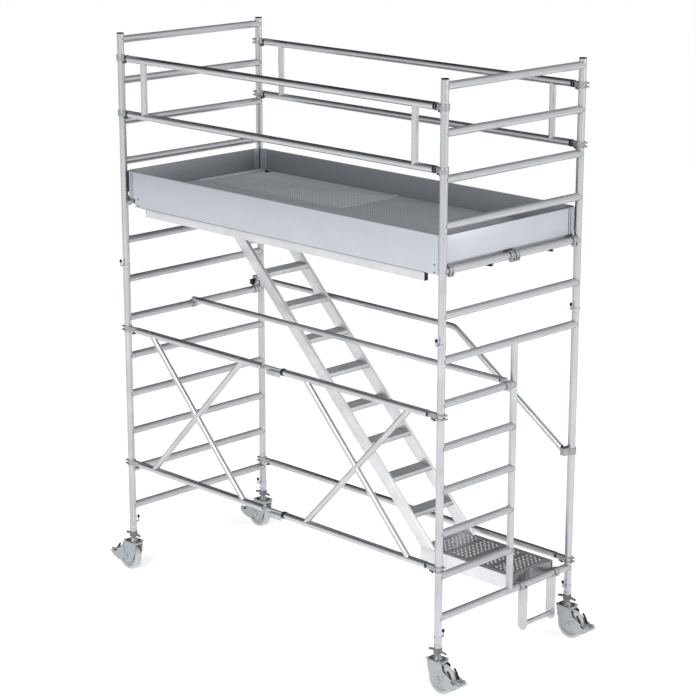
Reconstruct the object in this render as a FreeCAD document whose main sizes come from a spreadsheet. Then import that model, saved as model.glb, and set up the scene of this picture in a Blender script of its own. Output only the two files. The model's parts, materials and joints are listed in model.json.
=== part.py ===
import FreeCAD, Part
import os
import re
import Sketcher
from FreeCAD import Placement, Rotation, Vector

# Mobile access tower in aluminium: two end frames in two lifts, a stairway inside,
# a working platform with a hatch, guardrails, toe boards and four braked castors.
# The origin is on the floor, midway between the four posts. X runs along the bay,
# Y from the braced front to the back, Z up. All sizes are in millimetres.

DIMENSIONS = {
    # End frames
    "post_x": 1500, "post_y": 640, "tube_radius": 25, "tube_wall": 2,
    "foot_gap": 76, "joint_z": 2255, "top_z": 3895, "cap_height": 6,
    "first_rung": 495, "rung_pitch": 280, "rung_radius": 24,
    "ladder_radius": 22.5, "door_post_radius": 23, "door_post_y": 40,
    "spigot_gap": 0.3, "spigot_half": 120, "spigot_wall": 3,
    # Access step under the doorway
    "step_low_y": 180, "step_high_y": 465, "step_width": 76, "step_plate": 6,
    "step_drop": 282, "step_radius": 17,
    # Spring clips on the posts
    "clip_band": 2.5, "clip_height": 26, "castor_clip_rise": 64, "knob_radius": 9,
    "clip_stand": 24, "knob_rise": 30, "joint_clip_rise": 22,
    # Guardrails
    "guard_top": 3730, "guard_knee": 3350, "rail_radius": 24, "guard_upright_setback": 238,
    "upright_radius": 22, "guard_arm": 60,
    # Claws on the posts
    "claw_gap": 0.3, "claw_wall": 6, "claw_height": 42, "claw_arm_width": 26,
    # Folding front brace and the single rail at the back
    "brace_top": 1820, "brace_low": 825, "brace_radius": 23, "diagonal_radius": 20,
    "brace_arm": 105, "fold_half": 100, "brace_outer_setback": 255, "brace_inner": 300,
    "back_rail_z": 548, "back_fold_x": 85, "back_fold_half": 55,
    "tongue_width": 10, "tongue_height": 30, "link_plate": 4, "link_pin_radius": 5,
    # Platform
    "deck_rise": 65, "panel_thickness": 10, "panel_gap_x": 25, "panel_gap_y": 27,
    "deck_split": 3, "beam_setback": 184, "beam_cap": 4, "beam_edge": 52, "beam_inner_y": 22,
    "beam_width": 30, "beam_height": 150, "beam_wall": 3, "channel_setback": 70,
    "channel_width": 25, "channel_height": 70, "member_x": 475, "member_height": 60,
    "member_width": 40,
    # Hatch in the back half of the platform
    "hatch_left": 1400, "hatch_right": 30, "hatch_front": 45, "hatch_edge": 46,
    "hatch_gap": 3, "hinge_offset": 6, "hinge_rise": 4.5, "hinge_radius": 4,
    "hinge_pin_radius": 2.5, "hinge_length": 70, "hinge_leaf": 3, "hinge_inset": 45,
    "stiffener_height": 20, "header_setback": 40, "header_thickness": 15,
    "header_height": 170,
    # Toe boards
    "board_thickness": 20, "board_gap_y": 22, "board_setback_left": 50,
    "board_setback_right": 38, "board_foot_setback": 110, "board_notch": 60,
    "board_rise": 150, "board_drop": 95, "end_board_setback": 22, "end_board_thickness": 16,
    "end_board_edge": 34, "end_board_drop": 22, "corner_plate": 2.5, "corner_reach": 55,
    # Claws that hang the platform and the landing on the rungs
    "hook_gap": 0.3, "hook_wall": 9, "hook_width": 34,
    # Locking latches under the platform ends
    "latch_front_y": -210, "latch_back_y": 372, "latch_width": 24, "latch_cheek": 4,
    "latch_pin_radius": 5, "latch_offset": 92, "latch_thickness": 10, "latch_eye": 9,
    "latch_gap": 2,
    # Handrails
    "hand_radius": 20, "mid_hand_y": -32, "mid_hand_rise": 30, "hand_arm": 45,
    "back_hand_setback": 60, "back_hand_rise": 85, "bend_start": 465, "bend_radius": 130,
    "slope_end_z": 1310, "hand_end_gap": 32,
    # Star knob of the back handrail's clamp
    "star_radius": 20, "star_lobe": 8, "star_gap": 2.7, "star_width": 22, "stud_radius": 6,
    # Stair
    "landing_rise": 65, "stair_rise": 205, "nosing_x": 785, "stringer_foot_x": 652,
    "stringer_run": 120, "stringer_wall": 3, "stair_front_y": 112.5, "stair_back_y": 517.5,
    "stringer_width": 25, "tread_depth": 118, "tread_lip": 32,
    "tread_sheet": 3, "ridge_width": 5, "ridge_height": 2,
    # Landing
    "landing_setback": 42, "landing_height": 100, "ledge_width": 18, "ledge_height": 6,
    "plank_sheet": 3, "plank_lip": 30, "plank_gap": 2, "plank_hole": 7, "hole_pitch": 38,
    # Castors
    "wheel_radius": 100, "wheel_width": 52, "hub_width": 60, "castor_trail": 42,
    "axle_radius": 6, "axle_nut_radius": 10, "axle_nut_height": 7, "bore_gap": 0.05,
    "face_gap": 0.3, "fork_gap": 3, "fork_plate": 4, "crown_gap": 6, "crown_height": 13,
    "kingpin_radius": 8, "kingpin_head": 12, "plate_rise": 16, "plate_thickness": 6,
    "plate_x": 118, "plate_y": 94, "race_radius": 40, "collar_radius": 32,
    "collar_height": 24, "spindle_radius": 19, "spindle_top": 560, "nut_height": 34,
    "nut_radius": 29, "wing_reach": 72, "wing_radius": 8, "wing_droop": 8,
    "pedal_pivot_x": 78, "pedal_pivot_z": 135, "pivot_radius": 5, "pedal_sheet": 3,
    "pedal_tip_x": 216,
}

# Places that follow from the dimensions above, so that pieces stay together
LINKED = {
    "crown_z": "2 * wheel_radius + crown_gap", "plate_z": "crown_z + plate_rise",
    "foot_z": "plate_z + foot_gap", "castor_clip_z": "foot_z + castor_clip_rise",
    "deck_z": "first_rung + 8 * rung_pitch + deck_rise", "landing_z": "first_rung + landing_rise",
    "clip_reach": "tube_radius + clip_stand", "guard_upright_x": "post_x - guard_upright_setback",
    "brace_outer": "post_x - brace_outer_setback", "panel_x": "post_x - panel_gap_x",
    "panel_y": "post_y - panel_gap_y", "beam_x": "post_x - beam_setback",
    "beam_outer_y": "post_y - beam_edge", "channel_x": "post_x - channel_setback",
    "hatch_back": "post_y - hatch_edge", "hinge_y": "hatch_back + hinge_offset",
    "hinge_left": "hatch_left - hinge_inset", "hinge_right": "hatch_right + hinge_inset",
    "header_x": "hatch_left - header_setback", "board_front_y": "post_y - board_gap_y",
    "board_left": "post_x - board_setback_left", "board_right": "post_x - board_setback_right",
    "board_foot_left": "post_x - board_foot_setback", "board_top": "deck_z + board_rise",
    "board_low": "deck_z - board_drop", "end_board_low": "deck_z - end_board_drop",
    "end_board_x": "post_x - end_board_setback", "end_board_y": "post_y - end_board_edge",
    "back_hand_y": "post_y - back_hand_setback", "landing_right": "post_x - landing_setback",
}

doc = FreeCAD.newDocument("access_tower")
sheet = doc.addObject("Spreadsheet::Sheet", "Dims")
for row, (alias, size) in enumerate(DIMENSIONS.items(), start=1):
    sheet.set(f"A{row}", alias)
    sheet.set(f"B{row}", str(size))
    sheet.setAlias(f"B{row}", alias)
doc.recompute()

NODES = []


def formula(text, sheet_name="Dims."):
    """The same expression in terms of the sheet, with linked places spelled out."""
    def spell(match):
        word = match.group(0)
        if word in LINKED:
            return f"({formula(LINKED[word], sheet_name)})"
        return sheet_name + word if word in DIMENSIONS else word
    return re.sub(r"[A-Za-z_]\w*", spell, text)


def size(text):
    """The present value of an expression, in millimetres."""
    return float(sheet.evalExpression(formula(text, "")))


def bind(thing, **properties):
    for name, text in properties.items():
        thing.setExpression(name, formula(text))
    return thing


def place(thing, at, turn=None):
    """Put a thing at three expressions, turned about an axis through its own origin."""
    if turn:
        axis, angle = turn
        thing.Placement = Placement(Vector(), Rotation(Vector(*axis), angle))
    for letter, text in zip("xyz", at):
        thing.setExpression(f"Placement.Base.{letter}", formula(text))
    return thing


ALONG = {"X": ((0, 1, 0), 90), "Y": ((1, 0, 0), -90), "Z": None}


def cylinder(name, radius, length, at, along="Z"):
    thing = doc.addObject("Part::Cylinder", name)
    bind(thing, Radius=radius, Height=length)
    return place(thing, at, ALONG[along])


def leaning_cylinder(name, radius, start, end):
    """A cylinder from one point of an XZ plane to another, given as (x, y, z) texts."""
    run = f"(({end[0]}) - ({start[0]}))"
    rise = f"(({end[2]}) - ({start[2]}))"
    thing = cylinder(name, radius, f"hypot({run}; {rise})", start)
    thing.Placement.Rotation = Rotation(Vector(0, 1, 0), 30)
    thing.setExpression("Placement.Rotation.Angle", formula(f"atan2({run}; {rise})"))
    return thing


def box(name, lengths, at):
    """A box with its lowest corner at the given place."""
    thing = doc.addObject("Part::Box", name)
    bind(thing, Length=lengths[0], Width=lengths[1], Height=lengths[2])
    return place(thing, at)


def centred_box(name, lengths, centre):
    return box(name, lengths, [f"({c}) - ({l}) / 2" for c, l in zip(centre, lengths)])


def cut(name, base, *tools):
    result = base
    for number, tool in enumerate(tools):
        step = doc.addObject("Part::Cut", f"{name}_cut{number}")
        step.Base, step.Tool = result, tool
        result = step
    return result


def fuse(name, *things):
    thing = doc.addObject("Part::MultiFuse", f"{name}_fused")
    thing.Shapes = list(things)
    return thing


def group(name, things):
    """Separate solids kept together as one object."""
    thing = doc.addObject("Part::Compound", f"{name}_set")
    thing.Links = list(things)
    return thing


def copy_of(source, name, at, half_turn=False):
    """A linked copy, moved and if wanted turned half round the vertical."""
    thing = doc.addObject("App::Link", name)
    thing.LinkedObject = source
    return place(thing, at, ((0, 0, 1), 180) if half_turn else None)


def node(label, thing):
    """Name a finished sub-part and keep it for export."""
    thing.Label = label
    NODES.append(thing)
    return thing


def outline_body(name, plane, points, width, holes=(), one_side=False):
    """A body padded from a closed outline whose corners are pairs of expressions.

    The pad is symmetric about the plane unless one_side is set. Holes are
    (centre x, centre y, radius) in the same plane.
    """
    body = doc.addObject("PartDesign::Body", f"{name}_body")
    base = next(f for f in body.Origin.OriginFeatures if f.Role == plane)
    sketch = body.newObject("Sketcher::SketchObject", f"{name}_sketch")
    sketch.AttachmentSupport = [(base, "")]
    sketch.MapMode = "FlatFace"
    corners = [(size(x), size(y)) for x, y in points]
    count = len(points)
    for index, (x, y) in enumerate(corners):
        following = corners[(index + 1) % count]
        sketch.addGeometry(Part.LineSegment(Vector(x, y, 0), Vector(*following, 0)), False)
    for index in range(count):
        sketch.addConstraint(Sketcher.Constraint("Coincident", index, 2, (index + 1) % count, 1))
    for index, texts in enumerate(points):
        fix_point(sketch, index, 1, texts)
    for x, y, radius in holes:
        circle = sketch.addGeometry(
            Part.Circle(Vector(size(x), size(y), 0), Vector(0, 0, 1), size(radius)), False)
        fix_point(sketch, circle, 3, (x, y))
        drive(sketch, Sketcher.Constraint("Radius", circle, size(radius)), radius)
    pad = body.newObject("PartDesign::Pad", f"{name}_pad")
    pad.Profile = sketch
    pad.SideType = "One side" if one_side else "Symmetric"
    bind(pad, Length=width)
    return body


def drive(sketch, constraint, text):
    number = sketch.addConstraint(constraint)
    sketch.setExpression(f"Constraints[{number}]", formula(text))


def fix_point(sketch, geometry, vertex, texts):
    """Hold a sketch point at two expressions, on an axis where one is zero."""
    for kind, text, axis in zip(("DistanceX", "DistanceY"), texts, (-2, -1)):
        if text == "0":
            sketch.addConstraint(Sketcher.Constraint("PointOnObject", geometry, vertex, axis))
        else:
            drive(sketch, Sketcher.Constraint(kind, -1, 1, geometry, vertex, size(text)), text)


def turned_body(name, points):
    """A body turned about the Y axis from an outline of (y along the axis, radius)."""
    body = doc.addObject("PartDesign::Body", f"{name}_body")
    planes = {f.Role: f for f in body.Origin.OriginFeatures}
    sketch = body.newObject("Sketcher::SketchObject", f"{name}_sketch")
    sketch.AttachmentSupport = [(planes["YZ_Plane"], "")]
    sketch.MapMode = "FlatFace"
    corners = [(size(y), size(r)) for y, r in points]
    count = len(points)
    for index, (y, r) in enumerate(corners):
        following = corners[(index + 1) % count]
        sketch.addGeometry(Part.LineSegment(Vector(y, r, 0), Vector(*following, 0)), False)
    for index in range(count):
        sketch.addConstraint(Sketcher.Constraint("Coincident", index, 2, (index + 1) % count, 1))
    for index, texts in enumerate(points):
        fix_point(sketch, index, 1, texts)
    turn = body.newObject("PartDesign::Revolution", f"{name}_turn")
    turn.Profile = sketch
    turn.ReferenceAxis = (planes["Y_Axis"], [""])
    turn.Angle = 360
    return body


# ---------------------------------------------------------------- end frames

def tube(name, radius, length, at, along="Z", wall="tube_wall"):
    outer = cylinder(f"{name}_outer", radius, length, at, along)
    inner = cylinder(f"{name}_inner", f"{radius} - {wall}", length, at, along)
    return cut(name, outer, inner)


def coped_tubes(name, radius, spans, cores, wall="tube_wall"):
    """Tubes cut to fit the round members they are welded to.

    spans holds (length, start, along) for each tube, and cores the solid
    cylinders of the members that shape their ends.
    """
    outers, inners = [], []
    for number, (length, at, along) in enumerate(spans):
        outers.append(cylinder(f"{name}_outer{number}", radius, length, at, along))
        inners.append(cylinder(f"{name}_inner{number}", f"{radius} - {wall}", length, at, along))
    return cut(name, group(f"{name}_outer", outers), group(f"{name}_inner", inners),
               group(f"{name}_core", cores))


def rung_height(number):
    return f"first_rung + {number} * rung_pitch"


def end_frame(label, x, low, high, rungs, extra=()):
    """Two posts with rungs welded between them, and any extra members."""
    posts, cores = [], []
    for side in ("-", ""):
        at = (x, f"{side}post_y", low)
        posts.append(tube(f"{label}_post{len(posts)}", "tube_radius", f"{high} - {low}", at))
        cores.append(cylinder(f"{label}_core{len(cores)}", "tube_radius",
                              f"{high} - {low}", at))
    spans = [("2 * post_y", (x, "-post_y", rung_height(r)), "Y") for r in rungs]
    rungs = coped_tubes(f"{label}_rungs", "rung_radius", spans, cores)
    return node(label, group(label, posts + [rungs] + list(extra)))


LOWER_RUNGS = range(7)
UPPER_RUNGS = range(7, 13)
LADDER_RUNGS = range(1, 6)


def doorway_members():
    """The post beside the doorway, its ladder rungs and the hanging step."""
    low_core = cylinder("doorway_low_core", "rung_radius", "2 * post_y",
                        ("post_x", "-post_y", rung_height(0)), "Y")
    high_core = cylinder("doorway_high_core", "rung_radius", "2 * post_y",
                         ("post_x", "-post_y", rung_height(6)), "Y")
    door_at = ("post_x", "door_post_y", "first_rung")
    door_post = coped_tubes("door_post", "door_post_radius",
                            [("6 * rung_pitch", door_at, "Z")], [low_core, high_core])
    corner_core = cylinder("doorway_corner_core", "tube_radius", "joint_z - foot_z",
                           ("post_x", "-post_y", "foot_z"))
    door_core = cylinder("doorway_door_core", "door_post_radius", "6 * rung_pitch", door_at)
    spans = [("post_y + door_post_y", ("post_x", "-post_y", rung_height(r)), "Y")
             for r in LADDER_RUNGS]
    ladder = coped_tubes("ladder_rungs", "ladder_radius", spans, [corner_core, door_core])
    members = [door_post, ladder]
    step_z = "first_rung - step_drop"
    for number, y in enumerate(("step_low_y", "step_high_y")):
        plate = centred_box(f"step_plate{number}", ("step_width", "step_plate", "step_drop"),
                            ("post_x", y, f"{step_z} + step_drop / 2"))
        end = cylinder(f"step_end{number}", "step_width / 2", "step_plate",
                       ("post_x", f"{y} - step_plate / 2", step_z), "Y")
        members.append(cut(f"step_side{number}", fuse(f"step_side{number}", plate, end), low_core))
    members.append(tube("step_rung", "step_radius", "step_high_y - step_low_y - step_plate",
                        ("post_x", "step_low_y + step_plate / 2", step_z), "Y"))
    return members


end_frame("lower_left_frame", "-post_x", "foot_z", "joint_z", LOWER_RUNGS)
end_frame("lower_right_frame", "post_x", "foot_z", "joint_z", (0, 6), doorway_members())
end_frame("upper_left_frame", "-post_x", "joint_z", "top_z", UPPER_RUNGS)
end_frame("upper_right_frame", "post_x", "joint_z", "top_z", UPPER_RUNGS)

CORNERS = [("-post_x", "-post_y"), ("-post_x", "post_y"),
           ("post_x", "-post_y"), ("post_x", "post_y")]


def at_corners(label, source, z):
    copies = [copy_of(source, f"{label}_{number}", (x, y, z))
              for number, (x, y) in enumerate(CORNERS)]
    return node(label, group(label, copies))


cap_disc = cylinder("cap_disc", "tube_radius", "cap_height", ("0", "0", "0"))
cap_plug = cylinder("cap_plug", "tube_radius - tube_wall - spigot_gap", "20", ("0", "0", "-20"))
at_corners("post_caps", fuse("cap", cap_disc, cap_plug), "top_z")

spigot = tube("spigot", "tube_radius - tube_wall - spigot_gap", "2 * spigot_half",
              ("0", "0", "-spigot_half"), wall="spigot_wall")
at_corners("joint_spigots", spigot, "joint_z")


def clip_band(name):
    """A spring band round a post, with the arm that carries the pull knob."""
    band = cylinder(f"{name}_band", "tube_radius + clip_band", "clip_height",
                    ("0", "0", "-clip_height / 2"))
    foot = centred_box(f"{name}_foot", ("12", "clip_reach - tube_radius + 5", "5"),
                       ("0", "(clip_reach + tube_radius) / 2", "0"))
    arm = box(f"{name}_arm", ("12", "4", "knob_rise"), ("-6", "clip_reach - 1", "-2.5"))
    bore = cylinder(f"{name}_bore", "tube_radius + 0.1", "2 * clip_height",
                    ("0", "0", "-clip_height"))
    return cut(name, fuse(name, band, foot, arm), bore)


def clip_knob(name):
    """The moulded knob on the end of the arm."""
    stem = cylinder(f"{name}_stem", "knob_radius", "12",
                    ("0", "clip_reach + 1", "knob_rise - 2.5"))
    dome = doc.addObject("Part::Sphere", f"{name}_dome")
    bind(dome, Radius="knob_radius")
    place(dome, ("0", "clip_reach + 1", "knob_rise + 9.5"))
    return fuse(name, stem, dome)


def clips(label, source):
    """One clip at each castor, facing into the frame, and one at each frame joint."""
    copies = []
    for number, (x, y) in enumerate(CORNERS):
        front = y.startswith("-")
        copies.append(copy_of(source, f"{label}_castor{number}", (x, y, "castor_clip_z"), not front))
        copies.append(copy_of(source, f"{label}_joint{number}", (x, y, "joint_z + joint_clip_rise"),
                              True))
    return node(label, group(label, copies))


clips("clip_rings", clip_band("clip"))
clips("clip_knobs", clip_knob("knob"))

# ---------------------------------------------------------------- claws and rails

def post_claw(name, arm, double):
    """A claw round a post whose arm reaches out along +X to the end of a rail.

    A double claw has two narrow rings with a gap between them.
    """
    outer = "tube_radius + claw_gap + claw_wall"
    ring = cylinder(f"{name}_ring", outer, "claw_height", ("0", "0", "-claw_height / 2"))
    arm_box = box(f"{name}_arm", (arm, "claw_arm_width", "claw_height - 8"),
                  ("0", "-claw_arm_width / 2", "-claw_height / 2 + 4"))
    bore = cylinder(f"{name}_bore", "tube_radius + claw_gap", "2 * claw_height",
                    ("0", "0", "-claw_height"))
    tools = [bore]
    if double:
        tools.append(box(f"{name}_slot", ("4 * tube_radius", "4 * tube_radius", "claw_height / 3"),
                         ("-4 * tube_radius + 8", "-2 * tube_radius", "-claw_height / 6")))
    return cut(name, fuse(name, ring, arm_box), *tools)


def claws_at(label, source, places):
    copies = [copy_of(source, f"{label}_{number}", at, at[0] == "post_x")
              for number, at in enumerate(places)]
    return node(label, group(label, copies))


guard_places = [(x, y, z) for x, y in CORNERS for z in ("guard_top", "guard_knee")]
claws_at("guardrail_claws", post_claw("guard_claw", "guard_arm", False), guard_places)
brace_places = [(x, "-post_y", z) for x in ("-post_x", "post_x") for z in ("brace_top", "brace_low")]
back_places = [(x, "post_y", "back_rail_z") for x in ("-post_x", "post_x")]
claws_at("rail_claws", post_claw("rail_claw", "brace_arm", True), brace_places + back_places)


def guardrail(label, y):
    """Two rails joined by two uprights."""
    length = "2 * (post_x - guard_arm)"
    start = "-post_x + guard_arm"
    rails = [tube(f"{label}_rail{n}", "rail_radius", length, (start, y, z), "X")
             for n, z in enumerate(("guard_knee", "guard_top"))]
    cores = [cylinder(f"{label}_core{n}", "rail_radius", length, (start, y, z), "X")
             for n, z in enumerate(("guard_knee", "guard_top"))]
    spans = [("guard_top - guard_knee", (x, y, "guard_knee"), "Z")
             for x in ("-guard_upright_x", "guard_upright_x")]
    uprights = coped_tubes(f"{label}_uprights", "upright_radius", spans, cores)
    return node(label, group(label, rails + [uprights]))


guardrail("front_guardrail", "-post_y")
guardrail("back_guardrail", "post_y")


def rail_end(name, x, y, z, sign):
    """The plug and flat tongue on a rail's end, pointing along X towards the fold."""
    plug_start = x if sign == "+" else f"{x} - 6"
    plug = cylinder(f"{name}_plug", "brace_radius", "6", (plug_start, y, z), "X")
    tongue = centred_box(f"{name}_tongue", ("46", "tongue_width", "tongue_height"),
                         (f"{x} {sign} 23", y, z))
    return fuse(name, plug, tongue)


def pinned(name, end, x, y, z):
    """The same end drilled for its link pin."""
    hole = cylinder(f"{name}_hole", "link_pin_radius", "4 * tongue_width",
                    (x, f"{y} - 2 * tongue_width", z), "Y")
    return cut(f"{name}_drilled", end, hole)


def brace_half(label, side):
    """Half of the folding brace: two rails with crossed diagonals between them."""
    left = side == "-"
    y = "-post_y"
    rail_length = "post_x - brace_arm - fold_half - 6"
    start = "-post_x + brace_arm" if left else "fold_half + 6"
    fold_x = "-fold_half - 6" if left else "fold_half + 6"
    rails, cores, ends = [], [], []
    for n, z in enumerate(("brace_low", "brace_top")):
        rails.append(tube(f"{label}_rail{n}", "brace_radius", rail_length, (start, y, z), "X"))
        cores.append(cylinder(f"{label}_core{n}", "brace_radius", rail_length, (start, y, z), "X"))
        end = rail_end(f"{label}_end{n}", fold_x, y, z, "+" if left else "-")
        pin_x = f"{side}(fold_half - 28)" if left else "fold_half - 28"
        ends.append(pinned(f"{label}_end{n}", end, pin_x, y, z))
    outer, inner = f"{side}brace_outer", f"{side}brace_inner"
    first = [(outer, y, "brace_top"), (inner, y, "brace_low")]
    second = [(inner, y, "brace_top"), (outer, y, "brace_low")]
    core_set = group(f"{label}_cores", cores)
    bars = []
    first_core = leaning_cylinder(f"{label}_first_core", "diagonal_radius", *first)
    for n, ends_at in enumerate((first, second)):
        solid = leaning_cylinder(f"{label}_bar{n}", "diagonal_radius", *ends_at)
        hollow = leaning_cylinder(f"{label}_bore{n}", "diagonal_radius - tube_wall", *ends_at)
        tools = [hollow, core_set] + ([first_core] if n else [])
        bars.append(cut(f"{label}_diagonal{n}", solid, *tools))
    return node(label, group(label, rails + ends + bars))


brace_half("brace_left_half", "-")
brace_half("brace_right_half", "")


def back_rail():
    """The single rail low at the back, in two halves with a fold between them."""
    left_start = "-post_x + brace_arm"
    left_end = "back_fold_x - back_fold_half - 6"
    right_start = "back_fold_x + back_fold_half + 6"
    right_end = "post_x - brace_arm"
    place_of = {"-": left_end, "+": right_start}
    pieces = [tube("back_rail_left", "brace_radius", f"{left_end} - ({left_start})",
                   (left_start, "post_y", "back_rail_z"), "X"),
              tube("back_rail_right", "brace_radius", f"{right_end} - ({right_start})",
                   (right_start, "post_y", "back_rail_z"), "X")]
    for name, x, inward, pin in (("back_end_left", place_of["-"], "+", "back_fold_x - 28"),
                                 ("back_end_right", place_of["+"], "-", "back_fold_x + 28")):
        end = rail_end(name, x, "post_y", "back_rail_z", inward)
        pieces.append(pinned(name, end, pin, "post_y", "back_rail_z"))
    return node("back_rail", group("back_rail", pieces))


back_rail()


def fold_links():
    """Pairs of link plates with two pins each, at the folds of the brace and the back rail."""
    folds = [("0", "-post_y", "brace_low", "fold_half - 28"),
             ("0", "-post_y", "brace_top", "fold_half - 28"),
             ("back_fold_x", "post_y", "back_rail_z", "28")]
    pieces = []
    for n, (x, y, z, pin_reach) in enumerate(folds):
        plates = [centred_box(f"link{n}_plate{m}",
                              (f"2 * ({pin_reach}) + 30", "link_plate", "tongue_height"),
                              (x, f"{y} {sign} (tongue_width / 2 + link_plate / 2)", z))
                  for m, sign in enumerate("+-")]
        pins = [cylinder(f"link{n}_pin{m}", "link_pin_radius", "tongue_width + 4 * link_plate",
                         (f"{x} {sign} ({pin_reach})",
                          f"{y} - tongue_width / 2 - 2 * link_plate", z), "Y")
                for m, sign in enumerate("+-")]
        pieces.append(fuse(f"link{n}", *plates, *pins))
    return node("fold_links", group("fold_links", pieces))


fold_links()

# ---------------------------------------------------------------- platform

def box_section(name, lengths, at, along):
    """A box section with its lowest corner at the given place, open at both ends."""
    outer = box(f"{name}_outer", lengths, at)
    open_axis = "XYZ".index(along)
    inner_lengths = [length if axis == open_axis else f"{length} - 2 * beam_wall"
                     for axis, length in enumerate(lengths)]
    inner_at = [start if axis == open_axis else f"{start} + beam_wall"
                for axis, start in enumerate(at)]
    return cut(name, outer, box(f"{name}_inner", inner_lengths, inner_at))


PANEL_UNDER = "deck_z - panel_thickness"


def latch_bracket(name, end, y):
    """Two cheeks and a pin behind the end channel, for one latch."""
    sign = "-" if end == "left" else ""
    inner = f"{sign}(post_x - latch_offset)"
    reach = "channel_x - post_x + latch_offset + 10"
    low_x = "-channel_x" if end == "left" else "channel_x - (" + reach + ")"
    gap = "latch_width / 2 + face_gap"
    cheeks = [box(f"{name}_cheek{n}", (reach, "latch_cheek", "50"), (low_x, at, f"{LATCH_Z} - 12"))
              for n, at in enumerate((f"{y} - ({gap}) - latch_cheek", f"{y} + {gap}"))]
    length = f"2 * ({gap} + latch_cheek)"
    pin = cylinder(f"{name}_pin", "latch_pin_radius", length,
                   (inner, f"{y} - ({length}) / 2", LATCH_Z), "Y")
    return fuse(name, *cheeks, pin)


LATCH_Z = f"{rung_height(8)} - rung_radius - latch_gap - latch_thickness / 2"


def deck_frame(label, low_beam, high_beam, members, latch_y):
    """Two long beams, a channel at each end, members between the beams and latch pins."""
    beams = [box_section(f"{label}_beam{n}", ("2 * beam_x", "beam_width", "beam_height"),
                         ("-beam_x", f"{y} - beam_width / 2", f"{PANEL_UNDER} - beam_height"),
                         "X")
             for n, y in enumerate((low_beam, high_beam))]
    clear = f"{high_beam} - ({low_beam}) - beam_width"
    start = f"{low_beam} + beam_width / 2"
    pieces = [box_section(f"{label}_channel{n}", ("channel_width", clear, "channel_height"),
                          (x, start, f"{PANEL_UNDER} - channel_height"), "Y")
              for n, x in enumerate(("-channel_x - channel_width", "channel_x"))]
    for n, y in enumerate((low_beam, high_beam)):
        for m, x in enumerate(("-channel_x - channel_width", "beam_x + beam_cap")):
            length = "channel_x + channel_width - beam_x - beam_cap"
            pieces.append(box(f"{label}_rib{n}{m}", (length, "beam_width", "8"),
                              (x, f"{y} - beam_width / 2", f"{PANEL_UNDER} - 8")))
    for n, (x, width, height) in enumerate(members):
        pieces.append(box_section(f"{label}_member{n}", (width, clear, height),
                                  (x, start, f"{PANEL_UNDER} - {height}"), "Y"))
    for end in ("left", "right"):
        pieces.append(latch_bracket(f"{label}_{end}_bracket", end, latch_y))
    return node(label, group(label, beams + pieces))


CROSSING = ("member_width", "member_height")
deck_frame("front_deck_frame", "-beam_outer_y", "-beam_inner_y",
           [(x,) + CROSSING for x in ("-beam_x + 20", "-member_x - member_width / 2",
                                      "member_x - member_width / 2",
                                      "beam_x - 20 - member_width")], "latch_front_y")
deck_frame("back_deck_frame", "beam_inner_y", "beam_outer_y",
           [("-header_x - header_thickness", "header_thickness", "header_height"),
            ("-hatch_right - 30",) + CROSSING, ("member_x + member_width",) + CROSSING,
            ("beam_x - 20 - member_width",) + CROSSING], "latch_back_y")

beam_caps = [box(f"beam_cap{n}{m}", ("beam_cap", "beam_width", "beam_height"),
                 (x, f"{y} - beam_width / 2", f"{PANEL_UNDER} - beam_height"))
             for n, y in enumerate(("-beam_outer_y", "-beam_inner_y", "beam_inner_y",
                                    "beam_outer_y"))
             for m, x in enumerate(("-beam_x - beam_cap", "beam_x"))]
node("deck_beam_caps", group("deck_beam_caps", beam_caps))

node("front_deck_panel",
     box("front_panel", ("2 * panel_x", "panel_y - deck_split", "panel_thickness"),
         ("-panel_x", "-panel_y", PANEL_UNDER)))

HATCH_LOW_X, HATCH_HIGH_X = "hatch_left + hatch_gap", "-hatch_right + hatch_gap"
HATCH_LOW_Y, HATCH_HIGH_Y = "hatch_front - hatch_gap", "hatch_back + hatch_gap"
board_pieces = [
    ("main", f"panel_x - ({HATCH_HIGH_X})", "panel_y - deck_split", HATCH_HIGH_X, "deck_split"),
    ("end", f"panel_x - ({HATCH_LOW_X})", "panel_y - deck_split", "-panel_x", "deck_split"),
    ("front", f"{HATCH_LOW_X} + {HATCH_HIGH_X}", f"{HATCH_LOW_Y} - deck_split",
     f"-({HATCH_LOW_X})", "deck_split"),
    ("back", f"{HATCH_LOW_X} + {HATCH_HIGH_X}", f"panel_y - ({HATCH_HIGH_Y})",
     f"-({HATCH_LOW_X})", HATCH_HIGH_Y),
]
node("back_deck_panel",
     group("back_deck_panel", [box(f"back_panel_{name}", (length, width, "panel_thickness"),
                                   (x, y, PANEL_UNDER))
                               for name, length, width, x, y in board_pieces]))


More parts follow.
